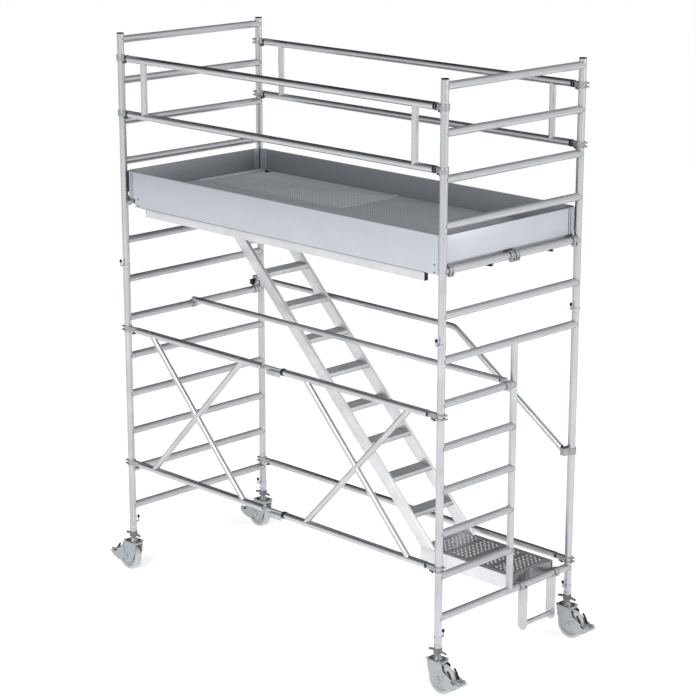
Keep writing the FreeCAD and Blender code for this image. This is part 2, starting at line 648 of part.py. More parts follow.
def hatch():
    """The lid with its stiffeners and knuckles, and the fixed leaves with the pins."""
    lid = box("lid_sheet", ("hatch_left - hatch_right", "hatch_back - hatch_front", "panel_thickness"),
              ("-hatch_left", "hatch_front", PANEL_UNDER))
    pieces = [lid]
    for n, share in enumerate(("0.07", "0.38", "0.62", "0.93")):
        pieces.append(box(f"stiffener{n}", ("30", "hatch_back - hatch_front - 75",
                                            "stiffener_height"),
                          (f"-hatch_left + {share} * (hatch_left - hatch_right) - 15",
                           "hatch_front + 10", f"{PANEL_UNDER} - stiffener_height")))
    fixed = []
    axis_z = "deck_z + hinge_rise"
    for n, x in enumerate(("-hinge_left", "-hinge_right")):
        knuckle = "hinge_length / 3"
        moving = cylinder(f"knuckle{n}", "hinge_radius", f"{knuckle} - 0.6",
                          (f"{x} - {knuckle} / 2 + 0.3", "hinge_y", axis_z), "X")
        tab = box(f"knuckle_tab{n}", (f"{knuckle} - 0.6", "30", "hinge_leaf"),
                  (f"{x} - {knuckle} / 2 + 0.3", "hinge_y - 33", "deck_z"))
        bore = cylinder(f"knuckle_bore{n}", "hinge_pin_radius + bore_gap", "hinge_length",
                        (f"{x} - hinge_length / 2", "hinge_y", axis_z), "X")
        pieces.append(cut(f"lid_knuckle{n}", fuse(f"lid_knuckle{n}", moving, tab), bore))
        leaf_parts = [cylinder(f"leaf{n}_{m}", "hinge_radius", knuckle,
                               (f"{x} {offset} {knuckle} / 2", "hinge_y", axis_z), "X")
                      for m, offset in enumerate(("- 3 *", "+"))]
        feet = [box(f"leaf_foot{n}_{m}", (knuckle, "8", "hinge_leaf"),
                    (f"{x} {offset} {knuckle} / 2", "hinge_y + 3", "deck_z"))
                for m, offset in enumerate(("- 3 *", "+"))]
        pin = cylinder(f"leaf_pin{n}", "hinge_pin_radius", "hinge_length",
                       (f"{x} - hinge_length / 2", "hinge_y", axis_z), "X")
        fixed.append(fuse(f"leaf{n}", *leaf_parts, *feet, pin))
    node("hatch_lid", fuse("hatch_lid", *pieces))
    node("hatch_hinges", group("hatch_hinges", fixed))


hatch()


def hook(name, arm, arm_height, arm_rise):
    """A claw over a rung. Its arm reaches back along -X from the rung's centre."""
    outer = "rung_radius + hook_gap + hook_wall"
    ring = cylinder(f"{name}_ring", outer, "hook_width", ("0", "-hook_width / 2", "0"), "Y")
    arm_box = box(f"{name}_arm", (arm, "beam_width", arm_height),
                  (f"-({arm})", "-beam_width / 2", arm_rise))
    bore = cylinder(f"{name}_bore", "rung_radius + hook_gap", "2 * hook_width",
                    ("0", "-hook_width", "0"), "Y")
    mouth = box(f"{name}_mouth", ("2 * rung_radius", "2 * hook_width", "3 * rung_radius"),
                ("-rung_radius - 14", "-hook_width", "-3 * rung_radius - 10"))
    return cut(name, fuse(name, ring, arm_box), bore, mouth)


def platform_claws():
    """Four claws at each end of the platform and two on the landing."""
    deck_hook = hook("deck_hook", "post_x - beam_x - beam_cap", "46", "-18")
    landing_hook = hook("landing_hook", "post_x - landing_right", "30", "-20")
    copies = []
    for end, turned in (("post_x", False), ("-post_x", True)):
        for y in ("-beam_outer_y", "-beam_inner_y", "beam_inner_y", "beam_outer_y"):
            copies.append(copy_of(deck_hook, f"deck_claw{len(copies)}",
                                  (end, y, rung_height(8)), turned))
    for y in ("stair_front_y + stringer_width / 2 + hook_width / 2 + 4",
              "stair_back_y - stringer_width / 2 - 5"):
        copies.append(copy_of(landing_hook, f"landing_claw{len(copies)}",
                              ("post_x", y, rung_height(0)), False))
    return node("platform_claws", group("platform_claws", copies))


platform_claws()


def toe_boards():
    """Boards round the platform, with a plate folded round each corner inside."""
    height = "board_top - board_low"
    for label, y in (("toe_board_front", "-board_front_y - board_thickness"),
                     ("toe_board_back", "board_front_y")):
        board = box_section(label, ("board_left + board_right", "board_thickness", height),
                            ("-board_left", y, "board_low"), "X")
        notch = box(f"{label}_notch", ("board_left - board_foot_left", "board_thickness",
                                       "board_notch"), ("-board_left", y, "board_low"))
        node(label, cut(label, board, notch))
    ends = [box_section(f"end_board{n}", ("end_board_thickness", "2 * end_board_y",
                                          "board_top - end_board_low"),
                        (x, "-end_board_y", "end_board_low"), "Y")
            for n, x in enumerate(("-end_board_x - end_board_thickness", "end_board_x"))]
    node("toe_boards_end", group("toe_boards_end", ends))
    plate_height = "board_top - deck_z"
    inner_x = "end_board_x - corner_plate"
    along_x = box("corner_along_x", ("corner_reach + board_thickness", "corner_plate", plate_height),
                  (f"-({inner_x})", "-board_front_y", "deck_z"))
    along_y = box("corner_along_y", ("corner_plate", "corner_reach", plate_height),
                  (f"-({inner_x}) - corner_plate", "-board_front_y", "deck_z"))
    corner = fuse("corner", along_x, along_y)
    flipped = doc.addObject("Part::Mirroring", "corner_flipped")
    flipped.Source = corner
    flipped.Normal = Vector(0, 1, 0)
    copies = [copy_of(source, f"corner_{n}_{turned}", ("0", "0", "0"), turned)
              for n, source in enumerate((corner, flipped)) for turned in (False, True)]
    return node("toe_board_corners", group("toe_board_corners", copies))


toe_boards()


def deck_latches():
    """A latch under each end of each half of the platform, turning under the rung."""
    half, tip = "latch_thickness / 2", "latch_offset + 14"
    points = [("-10", "-latch_eye"), ("12", "-latch_eye"), ("16", f"-{half}"), (tip, f"-{half}"),
              (tip, half), ("16", half), ("12", "latch_eye"), ("-10", "latch_eye")]
    for end, sign in (("left", "-"), ("right", "")):
        for part in ("front", "back"):
            label = f"deck_latch_{part}_{end}"
            body = outline_body(label, "XZ_Plane", points, "latch_width",
                                [("0", "0", "latch_pin_radius + bore_gap")])
            place(body, (f"{sign}(post_x - latch_offset)", f"latch_{part}_y", LATCH_Z),
                  ((0, 0, 1), 180) if end == "left" else None)
            node(label, body)


deck_latches()

# ---------------------------------------------------------------- handrails

MID_RUNG = rung_height(5)


def rung_coupler(name, bodies):
    """A clamp round a rung, joined with the arms that carry a handrail."""
    ring = cylinder(f"{name}_ring", "rung_radius + claw_gap + claw_wall", "hook_width",
                    ("0", "-hook_width / 2", "0"), "Y")
    bore = cylinder(f"{name}_bore", "rung_radius + claw_gap", "2 * hook_width",
                    ("0", "-hook_width", "0"), "Y")
    return cut(name, fuse(name, ring, *bodies), bore)


def handrails():
    start = "-post_x + hand_arm"
    mid_z = f"{MID_RUNG} + mid_hand_rise"
    back_z = f"{MID_RUNG} + back_hand_rise"
    node("mid_handrail", tube("mid_handrail", "hand_radius", "2 * (post_x - hand_arm)",
                              (start, "mid_hand_y", mid_z), "X"))
    path = doc.addObject("Sketcher::SketchObject", "bent_path")
    path.Placement = Placement(Vector(), Rotation(Vector(1, 0, 0), 90))
    path.setExpression("Placement.Base.y", formula("back_hand_y"))
    x0, z0 = size(start), size(back_z)
    x1, radius = size("bend_start"), size("bend_radius")
    x3, z3 = size("post_x"), size("slope_end_z")
    centre = Vector(x1, z0 - radius, 0)
    arc_end = centre + Vector(radius * 0.56, radius * 0.83, 0)
    path.addGeometry(Part.LineSegment(Vector(x0, z0, 0), Vector(x1, z0, 0)), False)
    bend = Part.Arc(Vector(x1, z0, 0), centre + Vector(radius * 0.29, radius * 0.957, 0), arc_end)
    path.addGeometry(bend, False)
    path.addGeometry(Part.LineSegment(arc_end, Vector(x3, z3, 0)), False)
    path.addConstraint(Sketcher.Constraint("Horizontal", 0))
    arc_first = 2 if path.getPoint(1, 2).distanceToPoint(Vector(x1, z0, 0)) < 1 else 1
    path.addConstraint(Sketcher.Constraint("Tangent", 0, 2, 1, arc_first))
    path.addConstraint(Sketcher.Constraint("Tangent", 1, 3 - arc_first, 2, 1))
    fix_point(path, 0, 1, (start, back_z))
    fix_point(path, 2, 2, ("post_x", "slope_end_z"))
    drive(path, Sketcher.Constraint("DistanceX", -1, 1, 0, 2, x1), "bend_start")
    drive(path, Sketcher.Constraint("Radius", 1, radius), "bend_radius")
    doc.recompute()
    swept = []
    for name, around in (("outer", "hand_radius"), ("inner", "hand_radius - tube_wall")):
        circle = doc.addObject("Part::Circle", f"bent_{name}_circle")
        bind(circle, Radius=around)
        place(circle, (start, "back_hand_y", back_z), ALONG["X"])
        sweep = doc.addObject("Part::Sweep", f"bent_{name}")
        sweep.Sections = [circle]
        sweep.Spine = (path, ["Edge1", "Edge2", "Edge3"])
        sweep.Solid = True
        swept.append(sweep)
    trim = box("bent_trim", ("200", "200", "400"),
               ("post_x - hand_end_gap", "back_hand_y - 100", "slope_end_z - 200"))
    node("bent_handrail", cut("bent_handrail", swept[0], swept[1], trim))

    mid_arm = box("mid_arm", ("hand_arm", "claw_arm_width", "34"),
                  ("0", "-claw_arm_width / 2", "mid_hand_rise - 17"))
    mid = rung_coupler("mid_coupler", [mid_arm])
    upright = box("back_upright", ("26", "claw_arm_width", "back_hand_rise + 17"),
                  ("-13", "-claw_arm_width / 2", "0"))
    back_arm = box("back_arm", ("hand_arm", "claw_arm_width", "34"),
                   ("0", "-claw_arm_width / 2", "back_hand_rise - 17"))
    stud_hole = cylinder("stud_hole", "stud_radius + bore_gap", "4 * stud_radius",
                         ("0", "-claw_arm_width / 2 - 1", STAR_RISE), "Y")
    back = cut("back_coupler", rung_coupler("back_coupler_body", [upright, back_arm]), stud_hole)
    ring = cylinder("swivel_ring", "tube_radius + claw_gap + claw_wall", "claw_height",
                    ("0", "0", "-claw_height / 2"))
    lug = box("swivel_lug", ("hand_end_gap + 8", "post_y - back_hand_y + hand_radius - 2", "50"),
              ("-hand_end_gap", "back_hand_y - post_y - hand_radius + 2", "-20"))
    swivel_bore = cylinder("swivel_bore", "tube_radius + claw_gap", "3 * claw_height",
                           ("0", "0", "-1.5 * claw_height"))
    swivel = cut("swivel_claw", fuse("swivel_claw", ring, lug), swivel_bore)
    copies = [copy_of(mid, "mid_coupler_left", ("-post_x", "mid_hand_y", MID_RUNG)),
              copy_of(mid, "mid_coupler_right", ("post_x", "mid_hand_y", MID_RUNG), True),
              copy_of(back, "back_coupler_left", ("-post_x", "back_hand_y", MID_RUNG)),
              copy_of(swivel, "swivel_claw_right", ("post_x", "post_y", "slope_end_z"))]
    node("handrail_couplers", group("handrail_couplers", copies))


STAR_RISE = "rung_radius + claw_gap + claw_wall + star_radius - 3 + star_lobe + star_gap"


def star_knob():
    """A lobed clamping knob with its stud, on the front of the left coupler."""
    hub = cylinder("star_hub", "star_radius - 4", "star_width", ("0", "-star_width", "0"), "Y")
    lobes = []
    for number in range(5):
        lobe = cylinder(f"star_lobe{number}", "star_lobe", "star_width",
                        (f"(star_radius - 3) * cos({72 * number} deg)", "-star_width",
                         f"(star_radius - 3) * sin({72 * number} deg)"), "Y")
        lobes.append(lobe)
    stud = cylinder("star_stud", "stud_radius", "3 * stud_radius", ("0", "0", "0"), "Y")
    knob = fuse("star_knob", hub, *lobes, stud)
    front = "back_hand_y - claw_arm_width / 2 - face_gap"
    node("star_knob", group("star_knob",
                            [copy_of(knob, "star_knob_left",
                                     ("-post_x", front, f"{MID_RUNG} + {STAR_RISE}"))]))


handrails()
star_knob()

# ---------------------------------------------------------------- stair and landing

def stringer(name, inset, width):
    """A stringer at 45 degrees, cut level at its foot and plumb at its head."""
    foot = "stringer_foot_x"
    points = [(f"{foot} + {inset} * 1.4142", "landing_z"),
              (f"{foot} + stringer_run - {inset} * 1.4142", "landing_z"),
              ("-header_x", f"landing_z + {foot} + stringer_run - {inset} * 1.4142 + header_x"),
              ("-header_x", f"landing_z + {foot} + {inset} * 1.4142 + header_x")]
    return outline_body(name, "XZ_Plane", points, width)


stringer_tube = cut("stringer", stringer("stringer_outer", "0", "stringer_width"),
                    stringer("stringer_inner", "stringer_wall", "stringer_width - 2 * stringer_wall"))
node("stair_stringers",
     group("stair_stringers", [copy_of(stringer_tube, f"stringer_{y}", ("0", f"stair_{y}_y", "0"))
                               for y in ("front", "back")]))

CLEAR_WIDTH = "stair_back_y - stair_front_y - stringer_width"
CLEAR_MID = "(stair_back_y + stair_front_y) / 2"


def tread():
    """A folded tread with ridges along it. Its top front edge is at the origin."""
    lip, sheet_z = "tread_lip", "ridge_height"
    points = [("0", f"-{sheet_z}"), ("0", f"-{lip}"), ("-tread_sheet", f"-{lip}"),
              ("-tread_sheet", f"-{sheet_z} - tread_sheet"),
              ("-tread_depth + tread_sheet", f"-{sheet_z} - tread_sheet"),
              ("-tread_depth + tread_sheet", f"-{lip}"), ("-tread_depth", f"-{lip}"),
              ("-tread_depth", f"-{sheet_z}")]
    sheet_body = outline_body("tread", "XZ_Plane", points, CLEAR_WIDTH)
    ridges = [box(f"tread_ridge{n}", ("ridge_width", CLEAR_WIDTH, "ridge_height + 1"),
                  (f"-ridge_width - {n} * (tread_depth - ridge_width) / 8",
                   f"-({CLEAR_WIDTH}) / 2", "-ridge_height - 1")) for n in range(9)]
    return fuse("tread", sheet_body, *ridges)


tread_source = tread()
node("stair_treads",
     group("stair_treads", [copy_of(tread_source, f"tread_{n}",
                                    (f"nosing_x - {n} * stair_rise", CLEAR_MID,
                                     f"landing_z + {n} * stair_rise"))
                            for n in range(1, 11)]))


def landing():
    """The landing's frame with its ledges, and the perforated planks on them."""
    low = "landing_z - landing_height"
    length = "landing_right - stringer_foot_x"
    sides = [box_section(f"landing_side_{y}", (length, "stringer_width", "landing_height"),
                         ("stringer_foot_x", f"stair_{y}_y - stringer_width / 2", low), "X")
             for y in ("front", "back")]
    inner = "stair_front_y + stringer_width / 2"
    ends = [box_section(f"landing_end{n}", ("stringer_width", CLEAR_WIDTH, "landing_height"),
                        (x, inner, low), "Y")
            for n, x in enumerate(("stringer_foot_x", "landing_right - stringer_width"))]
    ledge_z = "landing_z - plank_lip - ledge_height"
    ledge_length = f"{length} - 2 * stringer_width"
    ledges = [box(f"landing_ledge{n}", (ledge_length, "ledge_width", "ledge_height"),
                  ("stringer_foot_x + stringer_width", y, ledge_z))
              for n, y in enumerate((inner, f"{inner} + {CLEAR_WIDTH} - ledge_width"))]
    node("landing_frame", group("landing_frame", sides + ends + ledges))

    pitch = f"({ledge_length}) / 4"
    width = f"{pitch} - plank_gap"
    wide = f"{CLEAR_WIDTH} - 2"
    blank = box("plank_blank", (width, wide, "plank_lip + 2"), ("0", "0", "-plank_lip"))
    under = box("plank_under", (f"{width} - 2 * plank_sheet", wide, "plank_lip - 1"),
                ("plank_sheet", "0", "-plank_lip"))
    holes = [cylinder(f"plank_hole{i}_{j}", "plank_hole", "20",
                      (f"({width}) / 2 + ({i} - 1.5) * hole_pitch",
                       f"({wide}) / 2 + ({j} - 4) * hole_pitch", "-10"))
             for i in range(4) for j in range(9)]
    plank = cut("plank", blank, under, group("plank_holes", holes))
    node("landing_planks",
         group("landing_planks",
               [copy_of(plank, f"plank_{n}",
                        (f"stringer_foot_x + stringer_width + plank_gap / 2 + {n} * {pitch}",
                         f"{inner} + 1", "landing_z")) for n in range(4)]))


landing()

# ---------------------------------------------------------------- castors

def castor_spindle():
    """The spindle on its plate, with the kingpin that the fork turns on."""
    shaft = cylinder("spindle_shaft", "spindle_radius", "spindle_top - plate_z",
                     ("0", "0", "plate_z"))
    plate = centred_box("spindle_plate", ("plate_x", "plate_y", "plate_thickness"),
                        ("0", "0", "plate_z + plate_thickness / 2"))
    collar = doc.addObject("Part::Cone", "spindle_collar")
    bind(collar, Radius1="collar_radius", Radius2="spindle_radius", Height="collar_height")
    place(collar, ("0", "0", "plate_z + plate_thickness"))
    pin = cylinder("kingpin", "kingpin_radius", "plate_z - crown_z + 6", ("0", "0", "crown_z - 6"))
    head = cylinder("kingpin_head", "kingpin_head", "6 - face_gap", ("0", "0", "crown_z - 6"))
    return fuse("spindle", shaft, plate, collar, pin, head)


def wing_nut():
    """The adjusting nut: a round body with two wings that droop at their ends."""
    top = "foot_z - face_gap"
    body = cylinder("nut_body", "nut_radius", "nut_height", ("0", "0", f"{top} - nut_height"))
    wings = []
    for number, sign in enumerate(("", "-")):
        wings.append(leaning_cylinder(f"nut_wing{number}", "wing_radius",
                                      (f"{sign}(nut_radius - 8)", "0", f"{top} - nut_height / 2"),
                                      (f"{sign}wing_reach", "0",
                                       f"{top} - nut_height / 2 - wing_droop")))
    bore = cylinder("nut_bore", "spindle_radius + bore_gap", "2 * nut_height",
                    ("0", "0", f"{top} - 1.5 * nut_height"))
    return cut("wing_nut", fuse("wing_nut", body, *wings), bore)


LEG_INNER = "hub_width / 2 + fork_gap"
LEG_OUTER = f"{LEG_INNER} + fork_plate"


def castor_fork():
    """The fork with its crown, race, axle bolt and the pedal's pivot studs."""
    crown_top = "crown_z + crown_height"
    crown = centred_box("fork_crown", ("plate_x", f"2 * ({LEG_OUTER})", "crown_height"),
                        ("0", "0", "crown_z + crown_height / 2"))
    race = cylinder("fork_race", "race_radius", "plate_z - face_gap - crown_z",
                    ("0", "0", "crown_z"))
    kingpin_bore = cylinder("fork_bore", "kingpin_radius + bore_gap", "60",
                            ("0", "0", "crown_z - 20"))
    trail = "castor_trail"
    points = [("-plate_x / 2", crown_top), ("plate_x / 2", crown_top),
              ("pedal_pivot_x + 6", "pedal_pivot_z + 20"), ("pedal_pivot_x + 12", "pedal_pivot_z - 20"),
              (f"{trail} + 34", "wheel_radius - 30"), (f"{trail} + 16", "wheel_radius - 38"),
              (f"{trail} - 8", "wheel_radius - 40"), (f"{trail} - 38", "wheel_radius - 34"),
              (f"{trail} - 66", "wheel_radius - 10"), (f"{trail} - 94", "wheel_radius + 50")]
    leg = outline_body("fork_leg", "XZ_Plane", points, "fork_plate")
    legs = [copy_of(leg, f"fork_leg{n}", ("0", f"{sign} ({LEG_INNER} + fork_plate / 2)", "0"))
            for n, sign in enumerate(("0 -", "0 +"))]
    axle = cylinder("fork_axle", "axle_radius", f"2 * ({LEG_OUTER})",
                    (trail, f"-({LEG_OUTER})", "wheel_radius"), "Y")
    studs = []
    for n, y in enumerate((f"-({LEG_OUTER}) - axle_nut_height", LEG_OUTER)):
        studs.append(cylinder(f"axle_nut{n}", "axle_nut_radius", "axle_nut_height",
                              (trail, y, "wheel_radius"), "Y"))
        studs.append(cylinder(f"pedal_stud{n}", "pivot_radius", "axle_nut_height",
                              ("pedal_pivot_x", y, "pedal_pivot_z"), "Y"))
    solid = fuse("fork", crown, race, *legs, axle, *studs)
    return cut("fork", solid, kingpin_bore)


def castor_wheel():
    """A solid tyred wheel with a recessed web each side."""
    bore, hub, half = "axle_radius + bore_gap", "hub_width / 2", "wheel_width / 2"
    right = [(hub, bore), (hub, "22"), (f"{hub} - 8", "27"), ("9", "31"), ("9", "wheel_radius - 32"),
             (f"{half} - 4", "wheel_radius - 24"), (half, "wheel_radius - 21"),
             (half, "wheel_radius - 7"), (f"{half} - 7", "wheel_radius")]
    left = [(f"-({y})", r) for y, r in reversed(right)]
    return turned_body("wheel", right + left)


def brake_pedal():
    """Two cheeks on the fork's studs, joined by the foot tread and the brake shoe."""
    inner = f"{LEG_OUTER} + face_gap"
    outer = f"{inner} + pedal_sheet"
    points = [("64", "pedal_pivot_z + 30"), ("84", "pedal_pivot_z + 33"),
              ("127", "pedal_pivot_z + 11"), ("pedal_tip_x - 28", "pedal_pivot_z - 17"),
              ("pedal_tip_x", "pedal_pivot_z - 23"), ("pedal_tip_x", "pedal_pivot_z - 37"),
              ("pedal_tip_x - 36", "pedal_pivot_z - 63"), ("132", "56"), ("96", "58"),
              ("74", "75"), ("62", "pedal_pivot_z - 24")]
    cheek = outline_body("pedal_cheek", "XZ_Plane", points, "pedal_sheet",
                         [("pedal_pivot_x", "pedal_pivot_z", "pivot_radius + bore_gap"),
                          ("158", "pedal_pivot_z - 20", "6")])
    cheeks = [copy_of(cheek, f"pedal_cheek{n}", ("0", f"{sign} ({inner} + pedal_sheet / 2)", "0"))
              for n, sign in enumerate(("0 -", "0 +"))]
    tread_bar = box("pedal_tread", ("44", f"2 * ({outer})", "12"),
                    ("pedal_tip_x - 44", f"-({outer})", "pedal_pivot_z - 35"))
    shoe = box("brake_shoe", ("20", f"2 * ({inner})", "44"),
               ("castor_trail + wheel_radius + 1", f"-({inner})", "pedal_pivot_z - 62"))
    return fuse("pedal", *cheeks, tread_bar, shoe)


castor_sources = {"spindle": castor_spindle(), "wing_nut": wing_nut(), "fork": castor_fork(),
                  "pedal": brake_pedal()}
wheel_source = castor_wheel()
for name, (x, y) in zip(("front_left", "back_left", "front_right", "back_right"), CORNERS):
    turned = name.endswith("left")
    for kind, source in castor_sources.items():
        copy = copy_of(source, f"{kind}_{name}_copy", (x, y, "0"), turned)
        node(f"{kind}_{name}", group(f"{kind}_{name}", [copy]))
    inward = "-" if turned else "+"
    copy = copy_of(wheel_source, f"wheel_{name}_copy",
                   (f"{x} {inward} castor_trail", y, "wheel_radius"))
    node(f"wheel_{name}", group(f"wheel_{name}", [copy]))

# ---------------------------------------------------------------- checks and export

doc.recompute()
for thing in doc.Objects:
    if "Invalid" in thing.State or "Error" in thing.State:
        raise RuntimeError(f"{thing.Label} did not compute: {thing.State}")

os.makedirs("parts", exist_ok=True)
for thing in NODES:
    shape = thing.Shape
    if shape.isNull() or not shape.isValid() or not shape.Solids:
        raise RuntimeError(f"{thing.Label} has no sound shape")
    shape.exportStep(f"parts/{thing.Label}.step")
    print(f"{thing.Label}: {len(shape.Solids)} solids, {shape.Volume / 1000:.0f} cm3")
print(len(NODES), "sub-parts")
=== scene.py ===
import json
import math

import bpy
from mathutils import Matrix, Vector


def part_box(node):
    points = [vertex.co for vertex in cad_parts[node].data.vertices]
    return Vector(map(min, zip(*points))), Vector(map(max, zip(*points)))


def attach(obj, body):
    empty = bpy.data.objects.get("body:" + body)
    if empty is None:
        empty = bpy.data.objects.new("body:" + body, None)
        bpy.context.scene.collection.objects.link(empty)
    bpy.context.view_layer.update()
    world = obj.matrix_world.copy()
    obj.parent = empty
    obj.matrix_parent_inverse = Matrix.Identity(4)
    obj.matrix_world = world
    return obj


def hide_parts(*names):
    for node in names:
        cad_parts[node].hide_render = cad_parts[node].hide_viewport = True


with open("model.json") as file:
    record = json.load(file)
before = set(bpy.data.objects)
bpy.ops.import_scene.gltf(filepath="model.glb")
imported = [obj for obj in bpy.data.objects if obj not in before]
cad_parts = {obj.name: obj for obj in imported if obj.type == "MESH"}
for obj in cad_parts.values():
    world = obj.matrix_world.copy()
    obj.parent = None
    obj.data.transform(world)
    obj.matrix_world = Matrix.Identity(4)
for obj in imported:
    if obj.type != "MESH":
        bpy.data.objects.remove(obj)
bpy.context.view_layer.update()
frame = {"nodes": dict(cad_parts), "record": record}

record = frame["record"]
nodes = frame["nodes"]
body_of = {part: body for body, parts in record["behaviour"]["bodies"].items() for part in parts}
slot_of = {row["node"]: row["material_slot"] for row in record["subparts"]}

# %% [markdown]
# ## Small tools for modelling
# The tower is mostly tube, casting and folded sheet, so a few moves come back again and again:
# add a primitive, put its place into its mesh, round its sharp edges and copy it to where it
# repeats. An operator works on whatever is selected, and the frame arrives with everything
# selected, so each tool first drops every selection.

# %%
SHARP = math.radians(38)


def ready():
    """Leave edit mode and drop every selection."""
    if bpy.context.mode != "OBJECT":
        bpy.ops.object.mode_set(mode="OBJECT")
    bpy.ops.object.select_all(action="DESELECT")


def pick(piece):
    ready()
    piece.select_set(True)
    bpy.context.view_layer.objects.active = piece
    return piece


def settle(piece, name):
    """Name a piece and put its place, turn and size into its mesh."""
    pick(piece)
    bpy.ops.object.transform_apply(location=True, rotation=True, scale=True)
    piece.name = piece.data.name = name
    return piece


def apply_bevel(piece, width, segments=2):
    """Round every edge sharper than the limit, then shade the rest smooth."""
    pick(piece)
    if width:
        bevel = piece.modifiers.new("soft edges", "BEVEL")
        bevel.width, bevel.segments = width, segments
        bevel.limit_method, bevel.angle_limit = "ANGLE", SHARP
        bpy.ops.object.modifier_apply(modifier=bevel.name)
    bpy.ops.object.shade_smooth_by_angle(angle=SHARP)
    return piece


def block(name, low, high, edge=0.001, turn=0.0):
    """A box between two corners with its edges rounded, leaning about Y by turn degrees."""
    ready()
    middle = (Vector(low) + Vector(high)) / 2
    bpy.ops.mesh.primitive_cube_add(size=1, location=middle)
    piece = bpy.context.object
    piece.scale = [abs(b - a) for a, b in zip(low, high)]
    piece.rotation_euler = (0, math.radians(turn), 0)
    return apply_bevel(settle(piece, name), edge)


def rod(name, start, end, radius, edge=0.001, sides=24):
    """A round (or, with six sides, hexagonal) bar between two points."""
    ready()
    run = Vector(end) - Vector(start)
    bpy.ops.mesh.primitive_cylinder_add(vertices=sides, radius=radius, depth=run.length,
                                        location=(Vector(start) + Vector(end)) / 2)
    piece = bpy.context.object
    piece.rotation_euler = run.to_track_quat("Z", "Y").to_euler()
    return apply_bevel(settle(piece, name), edge)


def hoop(name, centre, radius, thickness, along="Z", sides=28, around=6):
    """A ring of round wire about an axis."""
    ready()
    turn = {"Z": (0, 0, 0), "Y": (math.pi / 2, 0, 0), "X": (0, math.pi / 2, 0)}[along]
    bpy.ops.mesh.primitive_torus_add(location=centre, rotation=turn, major_radius=radius,
                                     minor_radius=thickness, major_segments=sides,
                                     minor_segments=around)
    piece = settle(bpy.context.object, name)
    bpy.ops.object.shade_smooth()
    return piece


def dome(name, centre, radius, height, sides=12):
    """A low rivet head: the top half of a flattened ball."""
    ready()
    bpy.ops.mesh.primitive_uv_sphere_add(segments=sides, ring_count=8, radius=radius,
                                         location=centre)
    piece = bpy.context.object
    piece.scale = (1, 1, height / radius)
    settle(piece, name)
    bpy.ops.object.mode_set(mode="EDIT")
    bpy.ops.mesh.select_all(action="SELECT")
    bpy.ops.mesh.bisect(plane_co=centre, plane_no=(0, 0, 1), use_fill=True, clear_inner=True)
    bpy.ops.object.mode_set(mode="OBJECT")
    bpy.ops.object.shade_smooth_by_angle(angle=SHARP)
    return piece


def join(name, pieces):
    ready()
    for piece in pieces:
        piece.select_set(True)
    bpy.context.view_layer.objects.active = pieces[0]
    if len(pieces) > 1:
        bpy.ops.object.join()
    pieces[0].name = pieces[0].data.name = name
    return pieces[0]


def twin(piece, matrix):
    """A copy of a piece with its own mesh, moved by a matrix inside that mesh."""
    made = bpy.data.objects.new(piece.name + ".twin", piece.data.copy())
    bpy.context.scene.collection.objects.link(made)
    made.data.transform(matrix)
    return made


def spread(name, source, matrices):
    """Copies of one small piece, joined; the source itself is used up."""
    made = join(name, [twin(source, matrix) for matrix in matrices])
    bpy.data.objects.remove(source)
    return made


def shift(x, y, z, half_turn=False):
    """A move, after a half turn about Z if wanted."""
    return Matrix.Translation((x, y, z)) @ Matrix.Rotation(math.pi if half_turn else 0.0, 4, "Z")


def finish_piece(piece, body, material):
    """Hang a new piece on its body and give it its finish."""
    piece.data.materials.clear()
    piece.data.materials.append(material)
    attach(piece, body)
    return piece


print("modelling tools ready")

# %% [markdown]
# ## Shared helpers for materials
# Every finish below is a small node tree. `wire` adds one node, sets its plain values and
# links the ones that are sockets, so a tree reads from top to bottom like a recipe.

# %%
def wire(tree, kind, sockets=None, **settings):
    """Add a node, set its properties, then set or link its inputs by name or number."""
    made = tree.nodes.new(kind)
    for name, value in settings.items():
        setattr(made, name, value)
    for name, value in (sockets or {}).items():
        target = made.inputs[name]
        if isinstance(value, bpy.types.NodeSocket):
            tree.links.new(value, target)
        else:
            target.default_value = value
    return made


def maths(tree, operation, *values):
    return wire(tree, "ShaderNodeMath", dict(enumerate(values)), operation=operation).outputs[0]


def span(tree, value, low, high, out_low=0.0, out_high=1.0):
    """Map a value from one range to another, clamped."""
    made = wire(tree, "ShaderNodeMapRange", {"Value": value, "From Min": low, "From Max": high,
                                             "To Min": out_low, "To Max": out_high})
    return made.outputs["Result"]


def blend_colour(tree, share, first, second, mode="MIX"):
    made = tree.nodes.new("ShaderNodeMix")
    made.data_type, made.blend_type = "RGBA", mode
    for number, value in ((0, share), (6, first), (7, second)):
        if isinstance(value, bpy.types.NodeSocket):
            tree.links.new(value, made.inputs[number])
        else:
            made.inputs[number].default_value = value
    return made.outputs[2]


def new_group(name, inputs, outputs):
    """A shader node group with float inputs given as {name: default} and named outputs."""
    tree = bpy.data.node_groups.new(name, "ShaderNodeTree")
    for label, default in inputs.items():
        item = tree.interface.new_socket(label, in_out="INPUT", socket_type="NodeSocketFloat")
        item.default_value = default
    for label, kind in outputs.items():
        tree.interface.new_socket(label, in_out="OUTPUT", socket_type=kind)
    return tree, tree.nodes.new("NodeGroupInput"), tree.nodes.new("NodeGroupOutput")


print("helpers ready")

# %% [markdown]
# ## Extrusion grain
# Drawn and extruded aluminium carries fine lines along its length. A tube's surface never
# faces along its own axis, so the axis is found from the normal: where a normal has no part
# along an axis, the grain may run that way. Three noises, each drawn out along one axis, are
# mixed by that rule, which follows posts, rungs and rails without any unwrapping.

# %%
FLOAT = "NodeSocketFloat"


